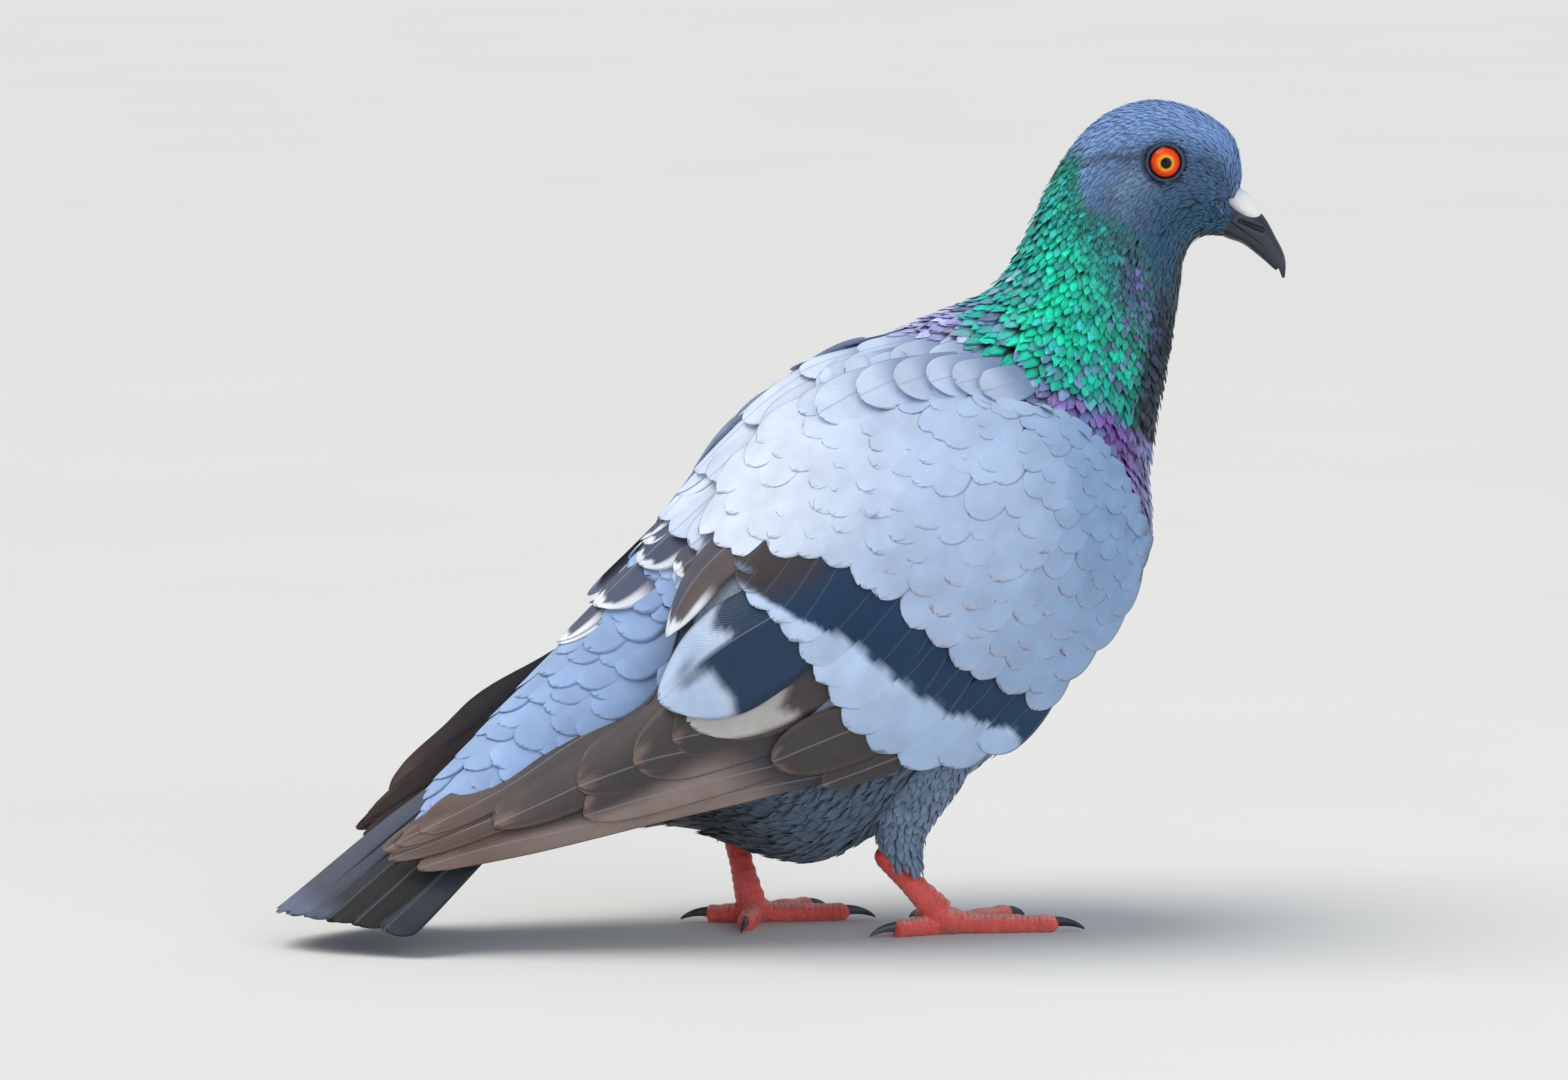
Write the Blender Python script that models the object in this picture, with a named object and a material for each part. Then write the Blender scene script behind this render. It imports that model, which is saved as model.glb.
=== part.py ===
"""A life-size standing rock pigeon as a still museum model.

Frame: +X runs forward along the trunk, +Y to the bird's left and +Z up. The floor is z = 0, and the
origin lies on it under the middle of the whole bird. All sizes below are in millimetres.

The head, neck and trunk are one lofted body, parted by thin cuts. Each folded wing, the flight
feathers behind it and the tail are lofted shells, and the legs, toes, claws, bill and eyes are turned
or swept solids.
"""

import math

import bmesh
import bpy
import numpy as np
from mathutils import Vector

MM = 0.001
GAP = 0.4  # clear space between solids that meet
BOX_MIDDLE = (-1.25, 0.0)  # x and y, in the tables below, of the middle of the bird's box
HEAD_TURN = math.radians(-12.0)  # the head looks towards the bird's right
TURN_PIVOT_X = 70.0  # where the neck starts to twist, at the bird's middle

# Body stations, from the face to the tail: name, top (x, z), bottom (x, z), half width,
# how far the fullest width sits above the middle, and the share of the head's turn.
BODY_STATIONS = (
    ("face", (119.3, 188.3), (114.5, 176.3), 4.6, 0.0, 1.00),
    ("forehead", (118.8, 196.8), (110.2, 177.0), 8.6, 0.05, 1.00),
    ("brow", (114.5, 205.3), (106.3, 174.7), 11.2, 0.15, 1.00),
    ("crown", (99.4, 211.7), (104.3, 169.6), 13.0, 0.25, 1.00),
    ("hindcrown", (83.4, 207.6), (103.3, 161.1), 13.8, 0.18, 1.00),
    ("nape", (73.2, 196.3), (101.7, 151.3), 14.5, 0.05, 0.95),
    ("upper_neck", (67.1, 184.2), (99.7, 138.8), 16.0, 0.0, 0.80),
    ("mid_neck", (60.7, 171.2), (97.5, 126.6), 18.5, -0.05, 0.60),
    ("neck_base", (52.6, 162.4), (96.1, 113.1), 23.5, -0.12, 0.35),
    ("shoulder", (38.5, 157.2), (95.5, 97.6), 30.0, -0.34, 0.12),
    ("mantle", (22.7, 150.5), (87.1, 79.7), 35.0, -0.36, 0.0),
    ("back", (5.7, 143.5), (71.4, 60.1), 38.0, -0.38, 0.0),
    ("mid_back", (-9.4, 130.2), (53.2, 43.9), 38.0, -0.38, 0.0),
    ("loin", (-22.9, 114.7), (32.3, 30.5), 35.5, -0.34, 0.0),
    ("vent", (-36.0, 99.3), (10.0, 18.5), 30.5, -0.25, 0.0),
    ("fluff", (-47.7, 86.3), (-9.4, 21.5), 25.0, -0.15, 0.0),
    ("rump", (-60.5, 72.0), (-27.6, 27.5), 20.5, 0.0, 0.0),
    ("croup", (-75.0, 57.0), (-43.3, 26.5), 17.5, 0.0, 0.0),
    ("tail_base", (-88.9, 42.3), (-58.7, 25.4), 17.0, 0.0, 0.0),
)
STATION = {row[0]: index for index, row in enumerate(BODY_STATIONS)}

# Ribs of the right wing's outer surface, from the shoulder to the tips of the flight feathers:
# upper, middle and lower point of each rib as (x, y, z).
WING_RIBS = (
    ((48.9, -25.5, 138.1), (71.6, -36.0, 130.7), (85.4, -41.0, 104.6)),
    ((35.4, -19.0, 146.4), (63.0, -45.0, 119.8), (80.3, -44.0, 88.3)),
    ((17.6, -15.3, 144.8), (42.6, -49.5, 110.5), (69.7, -45.0, 74.5)),
    ((-0.6, -15.3, 135.6), (20.4, -49.5, 100.8), (56.9, -44.0, 60.6)),
    ((-15.0, -15.0, 120.5), (2.8, -47.0, 88.0), (41.6, -42.0, 50.5)),
    ((-26.7, -14.5, 102.8), (-14.6, -42.0, 80.3), (23.8, -40.0, 42.2)),
    ((-33.9, -19.5, 82.8), (-25.5, -38.5, 64.7), (7.3, -38.0, 38.5)),
    ((-41.0, -23.5, 65.4), (-37.7, -34.5, 53.0), (-13.1, -36.0, 34.5)),
    ((-57.6, -23.0, 51.8), (-53.8, -30.5, 41.3), (-41.2, -33.0, 29.4)),
    ((-77.3, -19.0, 40.5), (-75.1, -26.0, 33.7), (-67.7, -29.0, 25.5)),
    ((-95.1, -17.0, 33.0), (-93.6, -21.5, 27.1), (-89.0, -25.0, 20.4)),
    ((-108.2, -17.0, 27.7), (-107.3, -19.0, 25.3), (-103.8, -21.0, 20.3)),
)
# The left wing is folded higher: how far its upper edge is moved at each rib.
LEFT_WING_RISE = (
    (0.0, 0.0, 0.0),
    (0.0, 0.0, 0.0),
    (0.0, 0.0, 0.0),
    (-1.0, 0.0, 0.0),
    (-1.5, 0.0, 0.5),
    (-3.0, 0.0, 2.5),
    (-12.0, -3.0, 5.5),
    (-15.0, -5.0, 11.0),
    (-13.0, -2.0, 9.5),
    (-7.0, 0.0, 9.0),
    (-2.5, 0.0, 6.5),
    (0.0, 0.0, 0.5),
)
WING_CUT_UPPER, WING_CUT_LOWER = 7.2, 5.2  # where the coverts end and the primaries start
WING_DEPTH = 9.0  # the most that the coverts' solid is thick
WING_ROOM = 2.0  # sideways room between the trunk and the folded wing
BLADE_ROOT, BLADE_TIP = 3.0, 1.0  # thickness of the folded primaries

# Ribs of the tail's upper surface, from its base to its tip: right edge and ridge.
TAIL_RIBS = (
    ((-64.0, -21.0, 27.0), (-89.2, 0.0, 41.6)),
    ((-84.0, -26.5, 15.4), (-105.0, 0.0, 29.9)),
    ((-96.0, -28.0, 9.2), (-119.5, 0.0, 18.2)),
    ((-104.0, -27.5, 5.4), (-131.9, 0.0, 8.4)),
)
TAIL_THICKNESS_ROOT, TAIL_THICKNESS_TIP = 4.0, 1.2
RECTRICES = 12  # tail feathers, whose tips scallop the end

EYE_CENTRE = (99.2, 7.4, 196.8)  # x, distance from the middle, z, before the head turns
EYE_RADIUS = 6.0

# Bill profile along its length: culmen, cutting edge and lower edge as (x, z), and half width.
BILL_STATIONS = (
    ((117.4, 186.2), (113.6, 182.6), (113.2, 177.4), 4.0),
    ((121.4, 184.9), (117.2, 180.2), (116.4, 176.0), 3.9),
    ((125.0, 181.8), (120.4, 177.8), (119.4, 174.9), 3.5),
    ((127.6, 177.2), (123.8, 175.2), (122.6, 172.6), 2.8),
    ((129.4, 173.8), (126.6, 172.4), (125.4, 170.3), 2.0),
    ((130.5, 170.2), (128.6, 169.2), (127.8, 168.2), 1.2),
    ((130.3, 166.2), (129.8, 166.2), (129.0, 167.6), 0.4),
)
LOWER_BILL_STATIONS = 6  # the upper bill hooks past the end of the lower one
CERE_HALF_SIZE = (5.6, 4.6, 3.0)  # along the bill, across both lobes, and upright
CERE_CENTRE = (119.3, 0.0, 185.4)
CERE_SLOPE = math.radians(-38.0)
CERE_CREASE = 0.3  # depth of the crease between the lobes, as a share of the height

# Each tarsus from its upper to its lower end, its radii, and the middle of the foot below it.
TARSI = {
    "right": ((22.6, -17.0, 22.0), (30.0, -16.3, 14.0), (38.2, -15.2, 5.6)),
    "left": ((-9.6, 15.6, 26.0), (-7.2, 14.6, 15.0), (-5.0, 13.4, 5.2)),
}
TARSUS_RADII = (3.2, 3.1, 4.0)
HUBS = {"right": (40.6, -15.0, 3.3), "left": (-4.2, 13.4, 3.3)}
HUB_RADII = (4.8, 4.2, 3.5)

# Feathered thighs, from inside the trunk down to the tarsus: centre, fore-and-aft and side radius.
THIGHS = {
    "right": (
        ((36.0, -19.0, 58.0), 16.5, 12.0),
        ((33.0, -19.5, 45.0), 13.5, 11.0),
        ((29.4, -19.0, 33.0), 9.0, 8.0),
        ((27.4, -18.0, 24.5), 6.4, 5.8),
        ((28.8, -17.0, 17.2), 4.5, 4.6),
    ),
    "left": (
        ((12.0, 19.0, 56.0), 16.0, 12.0),
        ((4.0, 19.0, 43.0), 12.5, 10.0),
        ((-3.5, 17.6, 32.0), 8.0, 7.4),
        ((-7.6, 15.8, 22.5), 5.6, 5.6),
    ),
}

# Toes of each foot: name, heading in degrees to the left of straight ahead, and length.
TOES = {
    "right": (("outer", -7.0, 28.5), ("middle", 40.0, 26.0), ("inner", 102.0, 17.5), ("hind", 193.0, 15.8)),
    "left": (("middle", -4.0, 25.0), ("outer", 34.0, 21.0), ("inner", -110.0, 16.5), ("hind", 166.0, 12.5)),
}
TOE_RADII = (3.0, 2.55, 2.65, 2.4, 2.5, 1.6)  # from the root over the joint pads to the rounded end
TOE_STOPS = (0.0, 0.3, 0.5, 0.72, 0.92, 1.0)
SOLE_DEPTH = 0.45  # how much of the round toes is cut off below so that they stand flat
CLAW_LENGTH = 9.2
CLAW_RADIUS = 1.35
CLAW_ROOT = 1.8  # how far each claw is seated in its toe

# sRGB base colour, roughness and metallic value of each material.
FINISHES = {
    "slate_plumage": ((0.33, 0.41, 0.52), 0.70, 0.0),
    "green_plumage": ((0.13, 0.55, 0.42), 0.45, 0.1),
    "pale_plumage": ((0.72, 0.78, 0.88), 0.75, 0.0),
    "brown_plumage": ((0.36, 0.31, 0.30), 0.65, 0.0),
    "dark_plumage": ((0.28, 0.31, 0.39), 0.65, 0.0),
    "bill_horn": ((0.20, 0.21, 0.26), 0.40, 0.0),
    "white_cere": ((0.93, 0.90, 0.90), 0.60, 0.0),
    "orange_eye": ((0.90, 0.33, 0.04), 0.10, 0.0),
    "red_leg": ((0.80, 0.27, 0.25), 0.50, 0.0),
    "dark_claw": ((0.17, 0.18, 0.21), 0.35, 0.0),
}


def spline(rows, at):
    """Natural cubic spline through rows, which stand at 0, 1, 2 and so on, read at the values at."""
    rows = np.asarray(rows, float)
    count = len(rows)
    matrix = np.eye(count)
    right = np.zeros_like(rows)
    for i in range(1, count - 1):
        matrix[i, i - 1 : i + 2] = (1.0, 4.0, 1.0)
        right[i] = 6.0 * (rows[i - 1] - 2.0 * rows[i] + rows[i + 1])
    bend = np.linalg.solve(matrix, right)
    at = np.clip(np.asarray(at, float), 0.0, count - 1.0)
    low = np.minimum(at.astype(int), count - 2)
    b = (at - low)[..., None]
    a = 1.0 - b
    return (
        a * rows[low]
        + b * rows[low + 1]
        + ((a**3 - a) * bend[low] + (b**3 - b) * bend[low + 1]) / 6.0
    )


def smooth(value, low, high):
    """0 below low, 1 above high, and a smooth step between them."""
    s = np.clip((value - low) / (high - low), 0.0, 1.0)
    return s * s * (3.0 - 2.0 * s)


def turned(points, share=1.0):
    """Points turned with the head about the neck's upright axis, by a share of the full turn."""
    points = np.asarray(points, float)
    angle = HEAD_TURN * np.asarray(share)
    x = points[..., 0] - TURN_PIVOT_X
    y = points[..., 1]
    return np.stack(
        (
            TURN_PIVOT_X + x * np.cos(angle) - y * np.sin(angle),
            x * np.sin(angle) + y * np.cos(angle),
            points[..., 2],
        ),
        axis=-1,
    )


BODY_TABLE = np.array([[*top, *bottom, *rest] for _, top, bottom, *rest in BODY_STATIONS])


def body_points(t, around):
    """The body's surface: t counts stations from the face, around runs from the top over the left side."""
    t, around = np.broadcast_arrays(np.asarray(t, float), np.asarray(around, float))
    row = spline(BODY_TABLE, t)
    middle = (row[..., 0:2] + row[..., 2:4]) / 2.0
    half = (row[..., 0:2] - row[..., 2:4]) / 2.0
    across = row[..., 4] * np.sin(around) * (1.0 + row[..., 5] * np.cos(around))
    rise = np.cos(around)
    local = np.stack(
        (middle[..., 0] + half[..., 0] * rise, across, middle[..., 1] + half[..., 1] * rise),
        axis=-1,
    )
    return turned(local, row[..., 6])


def body_half_width(x, z):
    """Half the trunk's width at each (x, z) of its side view, or 0 outside it."""
    t = np.linspace(STATION["upper_neck"], STATION["tail_base"], 181)
    row = spline(BODY_TABLE, t)
    middle = (row[:, 0:2] + row[:, 2:4]) / 2.0
    half = (row[:, 0:2] - row[:, 2:4]) / 2.0
    dx = np.asarray(x, float)[..., None] - middle[:, 0]
    dz = np.asarray(z, float)[..., None] - middle[:, 1]
    length = half[:, 0] ** 2 + half[:, 1] ** 2
    rise = (dx * half[:, 0] + dz * half[:, 1]) / length
    off = np.abs(dx * half[:, 1] - dz * half[:, 0]) / np.sqrt(length)
    side = np.sqrt(np.clip(1.0 - rise**2, 0.0, None)) * row[:, 4] * (1.0 + row[:, 5] * rise)
    return np.where(off < 2.0, side, 0.0).max(axis=-1)


def material(name):
    """The named Principled material, made once."""
    found = bpy.data.materials.get(name)
    if found is None:
        colour, roughness, metallic = FINISHES[name]
        found = bpy.data.materials.new(name)
        found.use_nodes = True
        shader = found.node_tree.nodes["Principled BSDF"]
        shader.inputs["Base Color"].default_value = [c**2.2 for c in colour] + [1.0]
        shader.inputs["Roughness"].default_value = roughness
        shader.inputs["Metallic"].default_value = metallic
    return found


def loft(name, rings, finish, shell=False):
    """A closed solid through rings of points in millimetres.

    Each end has one flat face or, for the ring of a shell, a strip from its outer to its inner side.
    """
    rings = np.asarray(rings, float)
    count, sides = rings.shape[:2]
    mesh = bpy.data.meshes.new(name)
    index = np.arange(count * sides).reshape(count, sides)
    after = np.roll(index, -1, axis=1)
    quads = np.stack((index[:-1], after[:-1], after[1:], index[1:]), axis=-1).reshape(-1, 4)
    faces = quads.tolist()
    for ring in (index[0], index[-1][::-1]):
        if shell:
            back = ring[::-1]
            half = sides // 2
            faces += np.stack((ring[:-1], ring[1:], back[1:], back[:-1]), axis=-1)[: half - 1].tolist()
        else:
            faces.append(ring.tolist())
    mesh.from_pydata((rings.reshape(-1, 3) * MM).tolist(), [], faces)
    return finished(name, mesh, finish)


def finished(name, mesh, finish):
    """The mesh as an object, its faces pointing out, shaded smooth and in its material."""
    shape = bmesh.new()
    shape.from_mesh(mesh)
    bmesh.ops.translate(shape, verts=shape.verts, vec=Vector((-BOX_MIDDLE[0], -BOX_MIDDLE[1], 0.0)) * MM)
    bmesh.ops.recalc_face_normals(shape, faces=shape.faces)
    shape.to_mesh(mesh)
    shape.free()
    mesh.shade_smooth()
    mesh.set_sharp_from_angle(angle=math.radians(50.0))
    mesh.materials.append(material(finish))
    thing = bpy.data.objects.new(name, mesh)
    bpy.context.scene.collection.objects.link(thing)
    return thing


def boolean(thing, other, operation="DIFFERENCE"):
    """Cuts other out of thing, or joins the two, with an exact Boolean that is applied at once."""
    modifier = thing.modifiers.new(operation.lower(), "BOOLEAN")
    modifier.operation = operation
    modifier.object = other
    modifier.solver = "EXACT"
    bpy.context.view_layer.update()
    graph = bpy.context.evaluated_depsgraph_get()
    mesh = bpy.data.meshes.new_from_object(thing.evaluated_get(graph))
    thing.modifiers.clear()
    thing.data = mesh
    mesh.name = thing.name
    bpy.data.objects.remove(other)


def tube_rings(path, radii, sides):
    """Rings of a round tube along path."""
    path = np.asarray(path, float)
    radii = np.broadcast_to(np.asarray(radii, float), (len(path),))
    along = np.gradient(path, axis=0)
    along /= np.linalg.norm(along, axis=1)[:, None]
    side = np.cross(along, (0.0, 0.0, 1.0))
    steep = np.linalg.norm(side, axis=1) < 0.2
    side[steep] = (0.0, 1.0, 0.0)
    side /= np.linalg.norm(side, axis=1)[:, None]
    up = np.cross(side, along)
    turn = np.linspace(0.0, 2.0 * math.pi, sides, endpoint=False)
    circle = np.cos(turn)[None, :, None] * side[:, None] + np.sin(turn)[None, :, None] * up[:, None]
    return path[:, None] + circle * radii[:, None, None]


def ball(name, centre, radii, finish, share=1.0, segments=14):
    """An ellipsoid that turns with the head."""
    shape = bmesh.new()
    bmesh.ops.create_uvsphere(shape, u_segments=segments, v_segments=segments // 2, radius=1.0)
    for vertex in shape.verts:
        local = np.array(vertex.co) * radii + centre
        vertex.co = Vector(turned(local, share) * MM)
    mesh = bpy.data.meshes.new(name)
    shape.to_mesh(mesh)
    shape.free()
    return finished(name, mesh, finish)


def body_solid(name, first, last, rings, sides, finish):
    """A length of the body between two stations."""
    t = np.linspace(first, last, rings)[:, None]
    around = np.linspace(0.0, 2.0 * math.pi, sides, endpoint=False)[None, :]
    return loft(name, body_points(t, around), finish)


def make_body():
    """Head, neck and trunk as one form parted by thin cuts."""
    cut = 0.016  # of a station's spacing, which leaves about half the gap on each side
    head = body_solid("head", 0.0, STATION["nape"] - cut, 14, 22, "slate_plumage")
    body_solid("neck", STATION["nape"] + cut, STATION["shoulder"] - cut, 11, 22, "green_plumage")
    trunk = body_solid("trunk", STATION["shoulder"] + cut, STATION["tail_base"], 21, 24, "pale_plumage")
    return head, trunk


def make_eyes(head):
    """Both eyeballs, each in a socket cut into the head."""
    for side, sign in (("left", 1.0), ("right", -1.0)):
        x, out, z = EYE_CENTRE
        centre = (x, sign * out, z)
        ball(f"eye_{side}", centre, (EYE_RADIUS,) * 3, "orange_eye")
        boolean(head, ball("socket", centre, (EYE_RADIUS + GAP,) * 3, "orange_eye"))


def bill_rings(first, last, low, high, steps, trim, grow=0.0):
    """Rings of the bill between two of its stations, from one of its three edges to the next.

    low and high name the columns of the edges: 0 culmen, 2 cutting edge, 4 lower edge. trim moves the
    flat side in, and grow moves the round side out.
    """
    rows = np.array([[*culmen, *edge, *lower, half] for culmen, edge, lower, half in BILL_STATIONS])
    row = spline(rows, np.linspace(first, last, steps))
    top = row[:, high : high + 2]
    base = row[:, low : low + 2]
    up = (top - base) / np.linalg.norm(top - base, axis=1)[:, None]
    top = top + up * grow
    base = base + up * trim
    arc = np.linspace(0.0, math.pi, 9)
    rings = np.empty((steps, len(arc), 3))
    rise = np.sin(arc)
    rings[..., 0] = base[:, 0:1] + (top - base)[:, 0:1] * rise
    rings[..., 1] = (row[:, 6:7] + grow) * np.cos(arc)
    rings[..., 2] = base[:, 1:2] + (top - base)[:, 1:2] * rise
    return rings


def cere(name, grow):
    """Two swollen lobes side by side over the bill's base, as one piece."""
    x, y, z = CERE_CENTRE
    half_long, half_wide, half_tall = (size + grow for size in CERE_HALF_SIZE)
    turn = np.linspace(0.0, 2.0 * math.pi, 16, endpoint=False)
    crease = 1.0 - CERE_CREASE * np.exp(-((2.6 * np.cos(turn)) ** 2)) * (np.sin(turn) > 0.0)
    rings = []
    for step in np.linspace(-0.96, 0.96, 8):
        swell = math.sqrt(1.0 - step * step)
        along = step * half_long
        lift = half_tall * swell * np.sin(turn) * crease
        ring = (
            x + along * math.cos(CERE_SLOPE) - lift * math.sin(CERE_SLOPE),
            y + half_wide * swell * np.cos(turn),
            z + along * math.sin(CERE_SLOPE) + lift * math.cos(CERE_SLOPE),
        )
        rings.append(np.stack(ring, axis=-1))
    return loft(name, turned(rings), "white_cere")


def make_bill(head):
    """Upper and lower bill, with the white cere seated on the upper one."""
    last = len(BILL_STATIONS) - 1.0
    upper = loft("bill_upper", turned(bill_rings(0.0, last, 2, 0, 11, GAP / 2.0)), "bill_horn")
    lower_rings = bill_rings(0.0, LOWER_BILL_STATIONS - 1.0, 2, 4, 8, GAP / 2.0)
    loft("bill_lower", turned(lower_rings), "bill_horn")
    for round_edge in (0, 4):
        rings = bill_rings(0.0, 2.5, 2, round_edge, 6, -GAP, GAP)
        back = (rings[0] - rings[1]).mean(axis=0)
        rings[0] += back / np.linalg.norm(back) * GAP
        boolean(head, loft("socket", turned(rings), "bill_horn"))
    boolean(head, cere("socket", GAP))
    boolean(upper, cere("socket", GAP))
    cere("cere", 0.0)


def wing_points(a, b, side):
    """A wing's outer surface, as if on the right: a counts ribs, b runs from its upper to its lower edge."""
    ribs = np.array(WING_RIBS).reshape(len(WING_RIBS), 9)
    if side == "left":
        rise = np.array(LEFT_WING_RISE) * (1.0, -1.0, 1.0)
        ribs = ribs + np.concatenate((rise, 0.45 * rise, 0.0 * rise), axis=1)
    row = spline(ribs, a)
    upper, middle, lower = row[..., 0:3], row[..., 3:6], row[..., 6:9]
    b = np.asarray(b, float)[..., None]
    crown = 2.0 * middle - 0.5 * (upper + lower)
    return upper * (1.0 - b) ** 2 + 2.0 * crown * b * (1.0 - b) + lower * b**2


def wing_shell(name, first, last, rings, across, deepest, side, finish):
    """A closed shell under the wing's outer surface, no thicker than deepest and clear of the trunk."""
    b = np.linspace(0.0, 1.0, across)[None, :]
    share = np.linspace(0.0, 1.0, rings)[:, None]
    a = first(b) + (last(b) - first(b)) * share
    outer = wing_points(a, np.broadcast_to(b, a.shape), side)
    clear = body_half_width(outer[..., 0], outer[..., 2]) + WING_ROOM
    inner = outer.copy()
    depth = np.broadcast_to(deepest(a), a.shape)
    inner[..., 1] = -np.minimum(
        np.maximum(-outer[..., 1] - depth, clear), -outer[..., 1] - BLADE_TIP
    )
    ring = np.concatenate((outer, inner[:, ::-1]), axis=1)
    if side == "left":
        ring = ring * (1.0, -1.0, 1.0)
    return loft(name, ring, finish, shell=True)


def make_wings():
    """Each folded wing's coverts, and the bundle of flight feathers behind them."""
    tip = len(WING_RIBS) - 1.0
    cut = 0.025

    def meeting(b):
        return WING_CUT_UPPER + (WING_CUT_LOWER - WING_CUT_UPPER) * b

    def thickness(a):
        return BLADE_ROOT + (BLADE_TIP - BLADE_ROOT) * (a - WING_CUT_LOWER) / (tip - WING_CUT_LOWER)

    for side in ("right", "left"):
        wing_shell(
            f"wing_{side}",
            lambda b: 0.0 * b,
            lambda b: meeting(b) - cut,
            15,
            9,
            lambda a: WING_DEPTH * (1.0 - smooth(a, 4.0, 7.0)) + BLADE_ROOT * smooth(a, 4.0, 7.0),
            side,
            "pale_plumage",
        )
        wing_shell(
            f"primaries_{side}",
            lambda b: meeting(b) + cut,
            lambda b: tip + 0.0 * b,
            10,
            9,
            thickness,
            side,
            "brown_plumage",
        )


def tail_points(a, v):
    """The tail's upper surface: a counts ribs from the base, v runs from -1 at the right edge to 1 at the left."""
    ribs = np.array(TAIL_RIBS).reshape(len(TAIL_RIBS), 6)
    row = spline(ribs, a)
    edge, ridge = row[..., 0:3], row[..., 3:6]
    v = np.asarray(v, float)
    out = ridge + (edge - ridge) * v[..., None] ** 2
    out[..., 1] = -edge[..., 1] * v
    return out


def make_tail():
    """The folded fan of tail feathers, with a rounded tip for each."""
    across, rings = 2 * RECTRICES + 1, 7
    v = np.linspace(-1.0, 1.0, across)[None, :]
    bump = 0.5 + 0.5 * np.cos((v + 1.0) * math.pi * RECTRICES + math.pi)
    end = (len(TAIL_RIBS) - 1.0) - 0.12 * (1.0 - bump)
    share = np.linspace(0.0, 1.0, rings)[:, None]
    a = share * end
    top = tail_points(a, np.broadcast_to(v, a.shape))
    under = top.copy()
    thick = TAIL_THICKNESS_ROOT + (TAIL_THICKNESS_TIP - TAIL_THICKNESS_ROOT) * share
    under[..., 2] -= thick
    loft("tail", np.concatenate((top, under[:, ::-1]), axis=1), "dark_plumage", shell=True)


def thigh_solid(name, side, grow):
    """A feathered thigh as a soft cone from inside the trunk to the tarsus, all of it grow wider."""
    rows = np.array([[*centre, long, wide] for centre, long, wide in THIGHS[side]])
    row = spline(rows, np.linspace(0.0, len(rows) - 1.0, 8))
    turn = np.linspace(0.0, 2.0 * math.pi, 14, endpoint=False)
    rings = np.repeat(row[:, None, 0:3], len(turn), axis=1)
    rings[..., 0] += (row[:, 3:4] + grow) * np.cos(turn)
    rings[..., 1] += (row[:, 4:5] + grow) * np.sin(turn)
    rings[0, :, 2] += grow
    rings[-1, :, 2] -= grow
    return loft(name, rings, "slate_plumage")


def tarsus_solid(name, side, grow):
    """The bare lower leg as a tube, all of it grow wider and longer."""
    path = spline(TARSI[side], np.linspace(0.0, 2.0, 7))
    radii = spline(np.array(TARSUS_RADII)[:, None], np.linspace(0.0, 2.0, 7))[:, 0] + grow
    step = path[1] - path[0]
    path[0] -= step / np.linalg.norm(step) * grow
    return loft(name, tube_rings(path, radii, 11), "red_leg")


def toe_frame(side, heading):
    """Where a toe starts and which way it points."""
    angle = math.radians(heading)
    return np.array(HUBS[side]), np.array((math.cos(angle), math.sin(angle), 0.0))


def toe_solid(name, side, heading, length, grow):
    """One toe as a padded tube along the floor, from the foot's middle to its rounded end."""
    start, ahead = toe_frame(side, heading)
    radii = np.array(TOE_RADII) + grow
    path = start + ahead * (np.array(TOE_STOPS)[:, None] * (length + grow))
    path[:, 2] = np.array(TOE_RADII) - SOLE_DEPTH
    path[-1, 2] = TOE_RADII[-2] - SOLE_DEPTH
    return loft(name, tube_rings(path, radii, 9), "red_leg")


def claw_rings(side, heading, length, grow):
    """Rings of one claw, which leaves the toe's end high and curves down towards the floor."""
    start, ahead = toe_frame(side, heading)
    s = np.linspace(0.0, 1.0, 5)[:, None]
    root = start + ahead * (length - CLAW_ROOT - grow)
    reach = (CLAW_LENGTH + grow) * (s - 0.1 * s**3)
    path = root + ahead * reach
    high = TOE_RADII[-2] - SOLE_DEPTH + 0.45
    path[:, 2] = (high + 0.9 * s - (high + 0.3) * s**2)[:, 0]
    radii = CLAW_RADIUS * (1.0 - s[:, 0]) ** 0.7 + 0.22 + grow
    return tube_rings(path, radii, 7)


def foot_solid(name, side, grow):
    """The toes and the middle of the foot as one solid with a flat sole on the floor."""
    radii = tuple(radius + grow for radius in HUB_RADII)
    foot = ball(name, HUBS[side], radii, "red_leg", share=0.0, segments=12)
    for _, heading, length in TOES[side]:
        boolean(foot, toe_solid("toe", side, heading, length, grow), "UNION")
    box = np.array([[(x, y, z) for x, y in ((-99, -99), (199, -99), (199, 99), (-99, 99))] for z in (-40, 0)])
    boolean(foot, loft("floor", box, "red_leg"))
    return foot


def make_leg(side, trunk):
    """One leg: the feathered thigh, the bare tarsus, the foot, and a claw on each toe."""
    boolean(trunk, thigh_solid("socket", side, 1.6 * GAP))
    thigh = thigh_solid(f"thigh_{side}", side, 0.0)
    boolean(thigh, tarsus_solid("socket", side, GAP))
    tarsus = tarsus_solid(f"tarsus_{side}", side, 0.0)
    boolean(tarsus, foot_solid("socket", side, GAP))
    foot = foot_solid(f"foot_{side}", side, 0.0)
    for toe, heading, length in TOES[side]:
        loft(f"claw_{side}_{toe}", claw_rings(side, heading, length, 0.0), "dark_claw")
        boolean(foot, loft("socket", claw_rings(side, heading, length, GAP), "dark_claw"))


def main():
    """Builds every solid of the bird."""
    for thing in list(bpy.data.objects):
        bpy.data.objects.remove(thing)
    head, trunk = make_body()
    make_eyes(head)
    make_bill(head)
    make_wings()
    make_tail()
    for side in ("right", "left"):
        make_leg(side, trunk)


main()
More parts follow.
